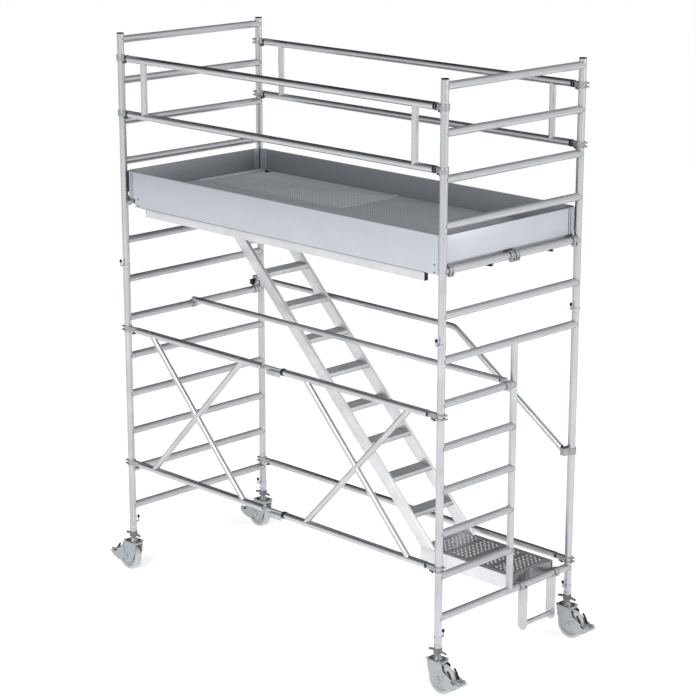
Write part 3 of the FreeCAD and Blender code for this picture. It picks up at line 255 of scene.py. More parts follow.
def grain_group():
    tree, given, result = new_group("extrusion grain", {"Fineness": 400.0, "Length": 60.0},
                                    {"Lines": FLOAT})
    place = wire(tree, "ShaderNodeTexCoord")
    normal = wire(tree, "ShaderNodeSeparateXYZ", {0: place.outputs["Normal"]})
    across = given.outputs["Fineness"]
    along = maths(tree, "DIVIDE", across, given.outputs["Length"])
    total, weights = None, None
    for axis in range(3):
        facing = maths(tree, "ABSOLUTE", normal.outputs[axis])
        weight = maths(tree, "POWER", maths(tree, "SUBTRACT", 1.0, facing), 6.0)
        scales = [along if axis == other else across for other in range(3)]
        stretch = wire(tree, "ShaderNodeCombineXYZ", dict(enumerate(scales)))
        drawn = wire(tree, "ShaderNodeVectorMath", {0: place.outputs["Object"],
                                                    1: stretch.outputs[0]}, operation="MULTIPLY")
        noise = wire(tree, "ShaderNodeTexNoise", {"Vector": drawn.outputs[0], "Scale": 1.0,
                                                  "Detail": 3.0, "Roughness": 0.6})
        part = maths(tree, "MULTIPLY", noise.outputs[0], weight)
        total = part if total is None else maths(tree, "ADD", total, part)
        weights = weight if weights is None else maths(tree, "ADD", weights, weight)
    lines = maths(tree, "DIVIDE", total, maths(tree, "MAXIMUM", weights, 0.0001))
    tree.links.new(lines, result.inputs["Lines"])
    return tree


GRAIN = grain_group()
print("grain group has", len(GRAIN.nodes), "nodes")

# %% [markdown]
# ## Wear and cloudiness
# Handling polishes or chips the edges, and a surface is never one even tone. The bevel node
# compares a softened normal with the true one, which finds edges; slow noise gives clouds and
# fine noise breaks the edge line up.

# %%
def wear_group():
    tree, given, result = new_group("edge wear", {"Radius": 0.002, "Amount": 1.0},
                                    {"Edge": FLOAT, "Cloud": FLOAT, "Speck": FLOAT})
    place = wire(tree, "ShaderNodeTexCoord")
    true_normal = wire(tree, "ShaderNodeNewGeometry")
    soft = wire(tree, "ShaderNodeBevel", {"Radius": given.outputs["Radius"]}, samples=4)
    alike = wire(tree, "ShaderNodeVectorMath", {0: soft.outputs[0],
                                                1: true_normal.outputs["Normal"]},
                 operation="DOT_PRODUCT")
    edge = span(tree, alike.outputs["Value"], 0.99, 0.75)
    fine = wire(tree, "ShaderNodeTexNoise", {"Vector": place.outputs["Object"], "Scale": 260.0,
                                             "Detail": 4.0, "Roughness": 0.65})
    cloud = wire(tree, "ShaderNodeTexNoise", {"Vector": place.outputs["Object"], "Scale": 7.0,
                                              "Detail": 3.0, "Roughness": 0.55})
    broken = maths(tree, "MULTIPLY", edge, span(tree, fine.outputs[0], 0.42, 0.62))
    tree.links.new(maths(tree, "MULTIPLY", broken, given.outputs["Amount"]), result.inputs["Edge"])
    tree.links.new(span(tree, cloud.outputs[0], 0.3, 0.7), result.inputs["Cloud"])
    tree.links.new(fine.outputs[0], result.inputs["Speck"])
    return tree


WEAR = wear_group()
print("wear group has", len(WEAR.nodes), "nodes")


# %% [markdown]
# ## One recipe for the metals and plastics
# All finishes share the same skeleton: a base tone that drifts with the clouds and the grain,
# an edge tone, a roughness that drifts the same way, and a bump from the grain or the casting
# skin. The numbers make the difference between an extrusion, a casting and a moulding.

# %%
def tone(red, green=None, blue=None):
    green = red if green is None else green
    blue = red if blue is None else blue
    return (red, green, blue, 1.0)


def finish(name, base, edge, metallic, rough, drift=0.06, lines=0.0, skin=0.0,
           fineness=420.0, edge_radius=0.002, edge_amount=0.7, gloss=0.5, extra=None):
    """A material; lines is the grain's strength and skin the strength of a cast surface."""
    made = bpy.data.materials.new(name)
    made.use_nodes = True
    tree = made.node_tree
    surface = tree.nodes["Principled BSDF"]
    wear = wire(tree, "ShaderNodeGroup", node_tree=WEAR)
    wear.inputs["Radius"].default_value = edge_radius
    wear.inputs["Amount"].default_value = edge_amount
    darker = tuple(channel * (1.0 - 2.0 * drift) for channel in base[:3]) + (1.0,)
    colour = blend_colour(tree, wear.outputs["Cloud"], darker, base)
    height = wear.outputs["Speck"]
    strength = skin
    roughness = span(tree, wear.outputs["Cloud"], 0.0, 1.0, rough + drift, rough - drift)
    if lines:
        grain = wire(tree, "ShaderNodeGroup", node_tree=GRAIN)
        grain.inputs["Fineness"].default_value = fineness
        shade = span(tree, grain.outputs["Lines"], 0.3, 0.7, 1.0 - 0.5 * lines, 1.0)
        colour = blend_colour(tree, 1.0, colour, shade, "MULTIPLY")
        roughness = maths(tree, "ADD", roughness,
                          span(tree, grain.outputs["Lines"], 0.3, 0.7, 0.25 * lines, -0.1 * lines))
        height, strength = grain.outputs["Lines"], lines * 0.35
    if extra:
        colour, roughness, height, strength = extra(tree, colour, roughness, height, strength)
    colour = blend_colour(tree, wear.outputs["Edge"], colour, edge)
    bump = wire(tree, "ShaderNodeBump", {"Height": height, "Strength": strength,
                                         "Distance": 0.0006})
    tree.links.new(colour, surface.inputs["Base Color"])
    tree.links.new(roughness, surface.inputs["Roughness"])
    tree.links.new(bump.outputs[0], surface.inputs["Normal"])
    surface.inputs["Metallic"].default_value = metallic
    surface.inputs["Specular IOR Level"].default_value = gloss
    return made

# %% [markdown]
# ## Toe board, deck board and tread patterns
# A toe board shows a pale coat outside and a darker one to the people on the deck. Both are
# faces of one section, so the finish asks which way a face looks: towards the middle of the
# tower it takes the darker coat. The deck is a phenolic-faced board with a pressed mesh of
# studs down its middle band, whose tops are lightened as painted highlight and whose hollows
# are darkened as painted shade. A tread is punched with rows of teeth; its top face is darkened
# as painted shade and the teeth's tops are lightened as painted highlight.

# %%
def inward_mask(tree):
    """1 on upright faces that look towards the tower's middle, 0 elsewhere."""
    place = wire(tree, "ShaderNodeTexCoord")
    flat = wire(tree, "ShaderNodeVectorMath", {0: place.outputs["Object"], 1: (1.0, 1.0, 0.0)},
                operation="MULTIPLY")
    facing = wire(tree, "ShaderNodeVectorMath", {0: place.outputs["Normal"], 1: flat.outputs[0]},
                  operation="DOT_PRODUCT")
    return span(tree, facing.outputs["Value"], -0.2, -0.4)


def slate_inside(tree, colour, roughness, height, strength):
    inside = inward_mask(tree)
    colour = blend_colour(tree, inside, colour, tone(0.225, 0.240, 0.258))
    roughness = maths(tree, "ADD", roughness, maths(tree, "MULTIPLY", inside, 0.08))
    return colour, roughness, height, strength


def mesh_lattice(tree, pitch):
    """A diamond lattice from -1 to 1 in the XY plane."""
    place = wire(tree, "ShaderNodeTexCoord")
    spot = wire(tree, "ShaderNodeSeparateXYZ", {0: place.outputs["Object"]})
    waves = [maths(tree, "SINE", maths(tree, "MULTIPLY", spot.outputs[axis], 2 * math.pi / pitch))
             for axis in (0, 1)]
    return maths(tree, "MULTIPLY", *waves), spot


def studded(tree, colour, roughness, height, strength):
    lattice, spot = mesh_lattice(tree, STUD_PITCH)
    band = maths(tree, "MULTIPLY", span(tree, spot.outputs[1], STUD_FRONT, STUD_FRONT + 0.001),
                 span(tree, spot.outputs[1], STUD_BACK, STUD_BACK - 0.001))
    studs = maths(tree, "MULTIPLY", span(tree, lattice, 0.1, 0.5), band)
    painted_pit_shade = maths(tree, "MULTIPLY", span(tree, lattice, -0.1, -0.5), band)
    stud_highlight_share, pit_shade_share = maths(tree, "MULTIPLY", studs, 0.65), maths(tree, "MULTIPLY", painted_pit_shade, 0.6)
    # Painted highlight: the studs' tops are lightened.
    colour = blend_colour(tree, stud_highlight_share, colour, tone(0.43, 0.44, 0.455))
    # Painted shade: the hollows between the studs are darkened.
    colour = blend_colour(tree, pit_shade_share, colour, tone(0.135, 0.142, 0.15))
    raised = maths(tree, "ADD", maths(tree, "MULTIPLY", height, 0.2), studs)
    return colour, roughness, raised, 0.6


def toothed(tree, colour, roughness, height, strength):
    lattice = mesh_lattice(tree, TOOTH_PITCH)[0]
    place = wire(tree, "ShaderNodeTexCoord")
    way = wire(tree, "ShaderNodeSeparateXYZ", {0: place.outputs["Normal"]})
    upper = span(tree, way.outputs[2], 0.6, 0.8)
    teeth = maths(tree, "MULTIPLY", span(tree, lattice, -0.15, 0.15), upper)
    # Painted shade: the tread's top face is darkened; below, the teeth's tops are lightened as
    # painted highlight.
    painted_top_shade = maths(tree, "MULTIPLY", upper, 0.55)
    colour = blend_colour(tree, painted_top_shade, colour, tone(0.14, 0.145, 0.15))
    colour = blend_colour(tree, maths(tree, "MULTIPLY", teeth, 0.6), colour, tone(0.42, 0.43, 0.44))
    return colour, roughness, maths(tree, "ADD", maths(tree, "MULTIPLY", height, 0.3), teeth), 0.6


board_low, board_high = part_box("toe_board_front")
DECK_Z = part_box("front_deck_panel")[1].z
STUD_PITCH, STUD_FRONT, STUD_BACK = 0.022, 0.003, 0.400
TOOTH_PITCH = 0.016
print("deck at", round(DECK_Z, 3))

# %% [markdown]
# ## The finishes
# Extruded tube is bright with faint lines along it; castings are duller with a sandy skin and
# polished corners; fittings are zinc, black nylon or grey enamel. Each line gives a base tone,
# an edge tone, how metallic and how rough, and the strength of its grain or skin.

# %%
tube = finish("tube aluminium", tone(0.555, 0.565, 0.58), tone(0.80), 1.0, 0.30, lines=0.22)
rail = finish("rail aluminium", tone(0.60, 0.61, 0.625), tone(0.82), 1.0, 0.28, lines=0.20)
cast = finish("cast aluminium", tone(0.38, 0.39, 0.40), tone(0.78), 0.9, 0.42, drift=0.1,
              skin=0.4, edge_amount=0.9)
zinc = finish("zinc plated steel", tone(0.50, 0.52, 0.54), tone(0.72), 1.0, 0.30, drift=0.1,
              skin=0.12)
dark_zinc = finish("dark zinc", tone(0.10, 0.107, 0.11), tone(0.5), 0.9, 0.38, drift=0.1, skin=0.3)
black = finish("black moulding", tone(0.012), tone(0.05), 0.0, 0.42, drift=0.02, skin=0.2,
               edge_amount=0.3, gloss=0.2)
beam = finish("beam aluminium", tone(0.73, 0.74, 0.75), tone(0.85), 0.8, 0.42, lines=0.2)
board = finish("phenolic board", tone(0.345, 0.362, 0.382), tone(0.42), 0.0, 0.5, drift=0.04,
               skin=0.4, edge_amount=0.5, extra=studded)
toe = finish("coated toe board", tone(0.50, 0.518, 0.56), tone(0.85), 0.55, 0.42, drift=0.02,
             lines=0.12, extra=slate_inside)
slate = finish("slate sheet", tone(0.225, 0.24, 0.258), tone(0.45), 0.2, 0.45, drift=0.05,
               skin=0.2)
side = finish("stringer aluminium", tone(0.79, 0.80, 0.81), tone(0.85), 0.9, 0.38, lines=0.22)
tread = finish("tread aluminium", tone(0.60, 0.61, 0.62), tone(0.75), 0.9, 0.42, lines=0.2,
               extra=toothed)
plank = finish("plank aluminium", tone(0.58, 0.59, 0.60), tone(0.65), 0.85, 0.42, drift=0.1,
               skin=0.3)
iron = finish("galvanised iron", tone(0.20, 0.21, 0.215), tone(0.6), 0.85, 0.45, drift=0.1,
              skin=0.5)
paint = finish("grey enamel", tone(0.37, 0.395, 0.41), tone(0.66), 0.25, 0.38, drift=0.03,
               skin=0.12)
nylon = finish("cast nylon", tone(0.47, 0.48, 0.485), tone(0.60), 0.0, 0.42, drift=0.03,
               skin=0.12)

spindle = finish("spindle zinc", tone(0.30, 0.31, 0.315), tone(0.7), 0.9, 0.36, drift=0.12,
                 lines=0.2, skin=0.2)

BY_SLOT = {
    "frame_tube": tube, "spigot_tube": zinc, "rail_tube": rail, "brace_tube": rail,
    "cast_claw": cast, "link_steel": zinc, "black_moulding": black, "deck_beam": beam,
    "deck_board": board, "toe_board_outer": toe, "corner_sheet": slate, "stringer": side,
    "tread": tread, "plank": plank, "spindle_zinc": spindle, "nut_iron": iron,
    "fork_steel": paint, "pedal_steel": paint, "wheel_tyre": nylon,
}
for name, part in nodes.items():
    for holder in part.material_slots:
        holder.material = BY_SLOT[slot_of[name]]
print(len(BY_SLOT), "finishes on", len(nodes), "parts")

# %% [markdown]
# ## Soft edges on castings, pressings and mouldings
# No real casting has a knife edge: the rounded corner is what catches the light and tells the
# eye how big a thing is. Each of these parts keeps its designed shape, as a welded copy whose
# sharp edges are rounded by the amount such a piece would have.

# %%
def refine(node, width, segments=2):
    """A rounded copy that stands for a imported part."""
    ready()
    piece = bpy.data.objects.new(node + "_soft", nodes[node].data.copy())
    bpy.context.scene.collection.objects.link(piece)
    pick(piece)
    if piece.data.has_custom_normals:
        bpy.ops.mesh.customdata_custom_splitnormals_clear()
    bpy.ops.object.mode_set(mode="EDIT")
    bpy.ops.mesh.select_all(action="SELECT")
    bpy.ops.mesh.remove_doubles(threshold=0.00001)
    bpy.ops.mesh.dissolve_limited(angle_limit=math.radians(0.5))
    bpy.ops.object.mode_set(mode="OBJECT")
    apply_bevel(piece, width, segments)
    finish_piece(piece, body_of[node], BY_SLOT[slot_of[node]])
    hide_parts(node)
    return piece


CORNERS = ("front_left", "back_left", "front_right", "back_right")
SOFT = {
    "guardrail_claws": 0.003, "rail_claws": 0.003, "platform_claws": 0.004,
    "handrail_couplers": 0.003, "fold_links": 0.0016, "star_knob": 0.003, "clip_rings": 0.0008,
    "clip_knobs": 0.0012, "post_caps": 0.0018, "deck_beam_caps": 0.0012, "landing_frame": 0.002,
    "stair_stringers": 0.0025, "toe_board_front": 0.0012, "toe_board_back": 0.0012,
    "toe_boards_end": 0.0012, "toe_board_corners": 0.0008, "hatch_lid": 0.0008,
    "front_deck_panel": 0.0012, "back_deck_panel": 0.0008, "stair_treads": 0.0006,
}
for corner in CORNERS:
    SOFT.update({f"spindle_{corner}": 0.002, f"wing_nut_{corner}": 0.0035,
                 f"fork_{corner}": 0.0016, f"pedal_{corner}": 0.0012, f"wheel_{corner}": 0.004,
                 f"deck_latch_{corner}": 0.0015})
softened = [refine(node, width) for node, width in SOFT.items()]
face_count = sum(len(piece.data.polygons) for piece in softened)
print(len(softened), "parts softened,", face_count, "faces")

# %% [markdown]
# ## Weld beads
# Every rung is welded all round where it meets a post. The bead is a thin ring whose wire
# climbs the post's round wall: a torus is added at the origin and each of its points is moved
# out by the depth of the post's circle at that place.

# %%
spigot_low, spigot_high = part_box("joint_spigots")
cap_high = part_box("post_caps")[1]
POST_RADIUS = 0.025
POST_X, POST_Y = cap_high.x - POST_RADIUS, cap_high.y - POST_RADIUS
JOINT_Z = (spigot_low.z + spigot_high.z) / 2
RUNG_RADIUS, RUNG_PITCH, RUNG_FIRST, RUNG_COUNT = 0.024, 0.280, 0.495, 13
DOOR_POST_Y = 0.040
POSTS = [(sx * POST_X, sy * POST_Y) for sx in (-1, 1) for sy in (-1, 1)]


def weld_bead():
    bead = hoop("weld_bead", (0, 0, 0), RUNG_RADIUS + 0.0012, 0.0026, along="Y")
    for point in bead.data.vertices:
        across = min(abs(point.co.x), POST_RADIUS)
        point.co.y += math.sqrt(POST_RADIUS ** 2 - across ** 2)
    return bead


def rung_z(number):
    return RUNG_FIRST + number * RUNG_PITCH


bead_places = []
for number in range(RUNG_COUNT):
    full = number == 0 or number >= 6
    for x in (-POST_X, POST_X):
        bead_places.append(shift(x, -POST_Y, rung_z(number)))
        if x < 0 or full:
            bead_places.append(shift(x, POST_Y, rung_z(number), True))
        else:
            bead_places.append(shift(x, DOOR_POST_Y, rung_z(number), True))
welds = spread("weld_beads", weld_bead(), bead_places)
finish_piece(welds, "tower", cast)
print(len(bead_places), "weld beads")

# %% [markdown]
# ## Ridges along the rungs
# A rung is drawn with raised ridges that stop a wet boot from slipping. One rung's set of
# ridges is a ring of thin rods, copied to every rung; the short rungs beside the doorway get
# a shorter set.

# %%
RIDGES, RIDGE_RADIUS, RIDGE_DEPTH, POST_CLEAR = 10, 0.0022, 0.0008, 0.046


def rung_ridges(name, length):
    rods = []
    for number in range(RIDGES):
        turn = 2 * math.pi * (number + 0.5) / RIDGES
        x = (RUNG_RADIUS - RIDGE_DEPTH) * math.sin(turn)
        z = (RUNG_RADIUS - RIDGE_DEPTH) * math.cos(turn)
        rods.append(rod("ridge", (x, -length / 2, z), (x, length / 2, z), RIDGE_RADIUS, 0.0, 8))
    return join(name, rods)


LONG, SHORT = 2 * POST_Y - POST_CLEAR, POST_Y + DOOR_POST_Y - POST_CLEAR
long_at = [shift(x, 0, rung_z(k)) for k in range(RUNG_COUNT) for x in (-POST_X, POST_X)
           if x < 0 or k == 0 or k >= 6]
short_at = [shift(POST_X, (DOOR_POST_Y - POST_Y) / 2, rung_z(k)) for k in range(1, 6)]
ridges = join("rung_ridges", [spread("long", rung_ridges("long_set", LONG), long_at),
                              spread("short", rung_ridges("short_set", SHORT), short_at)])
finish_piece(ridges, "tower", tube)
print(len(long_at), "long and", len(short_at), "short rungs ridged")

# %% [markdown]
# ## Joint seams and the collars on the feet
# The upper frame's posts stand on the lower ones, which shows as a fine dark line, and a
# pressed collar stiffens the mouth of each lower post just above the castor's nut.

# %%
seam = hoop("joint_seam", (0, 0, 0), POST_RADIUS, 0.0007, sides=40)
seams = spread("joint_seams", seam, [shift(x, y, JOINT_Z) for x, y in POSTS])
finish_piece(seams, "tower", dark_zinc)
FOOT_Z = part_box("lower_left_frame")[0].z
collar = hoop("foot_collar", (0, 0, 0), POST_RADIUS + 0.0004, 0.0022, sides=40)
collars = spread("foot_collars", collar,
                 [shift(x, y, FOOT_Z + rise) for x, y in POSTS for rise in (0.003, 0.021)])
finish_piece(collars, "tower", tube)
print("seams at", round(JOINT_Z, 3), "collars at", round(FOOT_Z, 3))

# %% [markdown]
# ## Claws
# A guardrail or brace is hung on the post by a cast claw: two fingers close round the far
# side, a spring trigger locks them, and a pin holds the trigger. On a guardrail a dark sleeve
# joins the claw to its rail, and only the back claws' fingers reach past the post. The little
# parts are modelled once beside the origin, with the post as the Z axis and the rail along X,
# then copied to every post.

# %%
guard_low, guard_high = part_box("guardrail_claws")
CLAW_HALF, SLEEVE_RADIUS = 0.021, 0.0246
GUARD_ARM, BRACE_ARM, BRACE_PIN, PIN_HALF = 0.060, 0.085, 0.092, 0.0150
GUARD_HEIGHTS = (guard_low.z + CLAW_HALF, guard_high.z - CLAW_HALF)
brace_low, brace_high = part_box("rail_claws")
BRACE_TOP = brace_high.z - CLAW_HALF
BRACE_LOW, BACK_RAIL_Z = 0.825, brace_low.z + CLAW_HALF


def claw_fingers():
    """Two fingers with down-turned tips on the side away from the rail."""
    pieces = []
    for low, high in ((-0.018, -0.006), (0.006, 0.018)):
        pieces.append(block("finger", (-0.040, -0.017, low), (-0.0275, 0.013, high), 0.003))
        pieces.append(block("finger_tip", (-0.040, -0.026, low), (-0.031, -0.012, high), 0.003))
    return join("claw_fingers", pieces)


def claw_trigger(reach):
    """The sprung trigger under the arm and its thumb tab; the pin is made by claw_pin."""
    lever = block("lever", (reach - 0.034, -0.006, -0.033), (reach - 0.006, 0.006, -0.016), 0.003)
    thumb = block("thumb", (reach - 0.040, -0.008, -0.037), (reach - 0.026, 0.008, -0.030), 0.002)
    return join("claw_trigger", [lever, thumb])


def claw_pin(reach):
    return rod("pin", (reach - 0.014, -PIN_HALF, 0.004), (reach - 0.014, PIN_HALF, 0.004), 0.005,
               0.0012)


def claw_mouth():
    """The dark sleeve between a claw's arm and its rail."""
    return rod("mouth", (0.061, 0, 0), (0.079, 0, 0), SLEEVE_RADIUS, 0.001, 32)


guard_places = [shift(x, y, z, x > 0) for x, y in POSTS for z in GUARD_HEIGHTS]
brace_places = [shift(x, -POST_Y, z, x > 0) for x in (-POST_X, POST_X)
                for z in (BRACE_LOW, BRACE_TOP)]
brace_places += [shift(x, POST_Y, BACK_RAIL_Z, x > 0) for x in (-POST_X, POST_X)]
back_guard = [place for place in guard_places if place.translation.y > 0]
finish_piece(spread("guard_claw_fingers", claw_fingers(), back_guard), "tower", cast)
finish_piece(spread("guard_claw_mouths", claw_mouth(), guard_places), "tower",
             black)
finish_piece(spread("guard_claw_triggers", claw_trigger(GUARD_ARM), guard_places), "tower",
             dark_zinc)
finish_piece(spread("guard_claw_pins", claw_pin(GUARD_ARM), guard_places), "tower",
             zinc)
finish_piece(spread("brace_claw_fingers", claw_fingers(), brace_places), "tower", cast)
finish_piece(spread("brace_claw_triggers", claw_trigger(BRACE_ARM), brace_places), "tower",
             dark_zinc)
finish_piece(spread("brace_claw_pins", claw_pin(BRACE_PIN), brace_places), "tower",
             zinc)
print(len(guard_places), "guardrail claws,", len(brace_places), "brace claws")

# %% [markdown]
# ## Castings over the brace's folds
# The two long rails of the front brace are hinged near the middle. A flat casting covers each
# fold on the outside, and a black end sleeve closes the right half's tube.

# %%
FOLD_LEFT, FOLD_RIGHT, FOLD_FRONT = -0.040, 0.092, -POST_Y - 0.0285
fold_pieces, fold_tips = [], []
for z in (BRACE_LOW, BRACE_TOP):
    fold_pieces.append(block("fold_casting", (FOLD_LEFT, FOLD_FRONT, z - 0.036),
                             (FOLD_RIGHT, FOLD_FRONT + 0.007, z - 0.001), 0.0025))
    fold_pieces.append(rod("fold_rivet", (FOLD_LEFT + 0.014, FOLD_FRONT - 0.0015, z - 0.016),
                           (FOLD_LEFT + 0.014, FOLD_FRONT + 0.0045, z - 0.016), 0.0070, 0.0015))
    fold_tips.append(rod("fold_tip", (FOLD_RIGHT - 0.002, -POST_Y, z),
                         (FOLD_RIGHT + 0.020, -POST_Y, z), 0.0255, 0.0015, 32))
finish_piece(join("fold_castings", fold_pieces), "tower", zinc)
finish_piece(join("fold_tips", fold_tips), "tower", black)
print(len(fold_tips), "folds covered")

# %% [markdown]
# ## Platform claws
# The long claws that carry the platform have dark holes and pins on each side of the arm and
# the ring, a rib along the top and a lock under the rung. Their fingers grip the rung on the
# outside.

# %%
DECK_RUNG_Z = rung_z(8)
CLAW_ROWS = (-0.588, -0.022, 0.022, 0.588)


def platform_claw_holes():
    pieces = [rod("claw_hole", (x, -0.0176, z), (x, 0.0176, z), radius, 0.0004)
              for x, z, radius in ((-0.066, 0.006, 0.0095), (-0.118, 0.006, 0.0085),
                                   (-0.016, 0.0235, 0.0055), (0.020, 0.020, 0.0050))]
    return join("claw_holes", pieces)


def platform_claw_grip():
    rib = block("claw_rib", (-0.172, -0.006, 0.026), (-0.020, 0.006, 0.034), 0.002)
    grips = [block("claw_grip", (0.018, y - 0.005, -0.030), (0.036, y + 0.005, 0.012), 0.003)
             for y in (-0.011, 0.011)]
    nose = block("claw_nose", (0.004, -0.016, -0.038), (0.030, 0.016, -0.026), 0.003)
    return join("claw_grip", [rib, nose] + grips)


deck_places = [shift(x, y, DECK_RUNG_Z, x < 0) for x in (-POST_X, POST_X) for y in CLAW_ROWS]
finish_piece(spread("platform_claw_holes", platform_claw_holes(), deck_places), "tower",
             black)
finish_piece(spread("platform_claw_grips", platform_claw_grip(), deck_places), "tower",
             cast)
print(len(deck_places), "platform claws")

# %% [markdown]
# ## Toe board rivets, seams and corner folds
# The boards are riveted near each end and rest on the platform's beams, where a fine dark
# line shows along the joint. Their ends are folded, which leaves two more lines, and the
# inside corners close with a dark joint.

# %%
def toe_rivet(y, outward):
    head = dome("rivet", (0, 0, 0), 0.0058, 0.0024)
    head.data.transform(Matrix.Rotation(math.radians(90 * outward), 4, "X"))
    head.data.transform(Matrix.Translation((0, y, 0)))
    return head


RIVET_X = [board_low.x + 0.092, board_high.x - 0.032]
RIVET_Z = [board_low.z + 0.012, board_low.z + 0.061]
back_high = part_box("toe_board_back")[1]
rivet_at = [shift(x, 0, z) for x in RIVET_X for z in RIVET_Z]
toe_rivets = join("toe_board_rivets",
                  [spread("front_rivets", toe_rivet(board_low.y, 1), rivet_at),
                   spread("back_rivets", toe_rivet(back_high.y, -1), rivet_at)])
finish_piece(toe_rivets, "tower", black)

FOLD = 0.0012
end_low, end_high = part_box("toe_boards_end")
lines = []
for y in (board_low.y, back_high.y):
    lines.append(block("seam_line", (board_low.x + 0.120, y - FOLD / 2, board_low.z),
                       (board_high.x - 0.100, y + FOLD / 2, board_low.z + 0.0022), 0.0002))
    for x in (board_low.x + 0.020, board_low.x + 0.038):
        lines.append(block("fold_line", (x - 0.0016, y - FOLD / 2, board_low.z + 0.062),
                           (x + 0.0016, y + FOLD / 2, board_high.z), 0.0002))
for x in (end_low.x, end_high.x):
    for y in (end_high.y - 0.056, end_high.y - 0.036):
        lines.append(block("fold_line", (x - FOLD / 2, y - 0.0026, end_low.z),
                           (x + FOLD / 2, y + 0.0026, end_high.z), 0.0002))
inner_x = end_high.x - 0.016 - 0.0025
for x in (-inner_x, inner_x):
    for y in (-board_low.y - 0.020, board_low.y + 0.020):
        lines.append(block("corner_joint", (x - 0.006, y - 0.0055, DECK_Z),
                           (x + 0.006, y + 0.0055, board_high.z - 0.003), 0.0015))
finish_piece(join("toe_board_lines", lines), "tower", black)
print(len(rivet_at) * 2, "rivets,", len(lines), "folds and seams")

# %% [markdown]
# ## Deck rivets and the hatch's turn button
# Rows of rivets hold the boards to the cross members; those over the hatch belong to the lid
# and lift with it. A round black button in the corner of the platform keeps the lid shut.

# %%
RIVET_ROWS_LID, RIVET_ROWS_FIXED = (-0.83, -0.21), (0.21, 0.83, 1.38)
RIVET_COLUMNS = (0.07, 0.32, 0.53)
TOP = DECK_Z - 0.0002


def deck_rivets(name, rows, columns, body):
    head = dome("rivet", (0, 0, 0), 0.0065, 0.0020)
    piece = spread(name, head, [shift(x, y, TOP) for x in rows for y in columns])
    return finish_piece(piece, body, dark_zinc)


deck_rivets("hatch_rivets", RIVET_ROWS_LID, RIVET_COLUMNS, "hatch_lid")
deck_rivets("back_deck_rivets", RIVET_ROWS_FIXED, RIVET_COLUMNS, "tower")
deck_rivets("front_deck_rivets", (-1.38,) + RIVET_ROWS_LID + RIVET_ROWS_FIXED,
            [-y for y in RIVET_COLUMNS], "tower")
button = join("hatch_button", [rod("button", (-1.335, 0.560, DECK_Z - 0.001),
                                   (-1.335, 0.560, DECK_Z + 0.006), 0.020, 0.003, 32),
                               block("grip", (-1.351, 0.556, DECK_Z + 0.004),
                                     (-1.319, 0.564, DECK_Z + 0.012), 0.0025)])
finish_piece(button, "hatch_lid", black)
print("deck rivets and button placed")

# %% [markdown]
# ## Raised holes in the landing's planks
# Each hole in a non-slip plank is drawn upwards, so it has a rounded lip that bites into a
# boot. One lip is a small ring, copied to the same grid as the holes.

# %%
plank_low, plank_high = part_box("landing_planks")
PLANKS, HOLE_COLUMNS, HOLE_ROWS, HOLE_PITCH, HOLE_RADIUS = 4, 4, 9, 0.038, 0.007
plank_pitch = (plank_high.x - plank_low.x + 0.002) / PLANKS
lip_places = []
for number in range(PLANKS):
    middle_x = plank_low.x + (number + 0.5) * plank_pitch - 0.001
    middle_y = (plank_low.y + plank_high.y) / 2
    for i in range(HOLE_COLUMNS):
        for j in range(HOLE_ROWS):
            lip_places.append(shift(middle_x + (i - 1.5) * HOLE_PITCH,
                                    middle_y + (j - 4) * HOLE_PITCH, plank_high.z))
lip = hoop("hole_lip", (0, 0, 0), HOLE_RADIUS + 0.0014, 0.0018, sides=14, around=5)
finish_piece(spread("plank_hole_lips", lip, lip_places), "tower", side)
button_dome = dome("plank_button", (0, 0, 0), 0.0042, 0.0022, sides=8)
dome_places = [place @ Matrix.Translation((HOLE_PITCH / 2, HOLE_PITCH / 2, 0))
               for place in lip_places]
finish_piece(spread("plank_buttons", button_dome, dome_places), "tower", side)
print(len(lip_places), "hole lips")

# %% [markdown]
# ## Castors: bolts, washers, painted shade and the pedal
# Four bolts hold the dark-topped plate, a black ring under it is a painted shadow line, and a
# nut and washer close the axle on a pressed ring. Black strips between the wheel and the fork's
# walls are painted shade. The brake pedal has a ribbed foot bar with two lugs and a dark slot in
# each cheek, and black blocks that follow the wheel inside each cheek are painted shade. All are
# modelled in one castor's own frame, with the swivel axis as Z and the trail along X, and copied to
# the four corners.

# %%
WHEEL_RADIUS, TRAIL, LEG_OUTER, PLATE_TOP = 0.100, 0.042, 0.037, 0.228
PEDAL_OUTER, PEDAL_TIP, PEDAL_PIVOT = 0.0403, 0.216, (0.078, 0.135)
BOLT_X, BOLT_Y = 0.046, 0.034
# The black strips of painted shade beside the wheel stand at the last of these.
FACE_X, FACE_Y, SHADE_STRIP_Y = 0.050, 0.038, 0.0320
# Black blocks of painted shade along the wheel inside the pedal's cheeks.
CHEEK_SHADE_ARC, CHEEK_SHADE_Y, CHEEK_SHADE_ANGLES = 0.108, 0.033, (6.0, 18.0, 30.0, 42.0)


def castor_bolts():
    pieces = []
    for x in (-BOLT_X, BOLT_X):
        for y in (-BOLT_Y, BOLT_Y):
            pieces.append(rod("bolt", (x, y, PLATE_TOP - 0.001), (x, y, PLATE_TOP + 0.006),
                              0.0085, 0.0012, 6))
            pieces.append(rod("washer", (x, y, PLATE_TOP - 0.001), (x, y, PLATE_TOP + 0.0016),
                              0.0120, 0.0005, 20))
    return join("bolts", pieces)


def axle_hardware():
    pieces = []
    for sign in (-1, 1):
        face = sign * LEG_OUTER
        pieces.append(hoop("pressed_ring", (TRAIL, face, WHEEL_RADIUS), 0.024, 0.0030, "Y", 32, 8))
        pieces.append(rod("washer", (TRAIL, face, WHEEL_RADIUS),
                          (TRAIL, face + sign * 0.002, WHEEL_RADIUS), 0.0165, 0.0006, 28))
        pieces.append(rod("nut", (TRAIL, face, WHEEL_RADIUS),
                          (TRAIL, face + sign * 0.0085, WHEEL_RADIUS), 0.0125, 0.0014, 6))
    return join("axle_hardware", pieces)


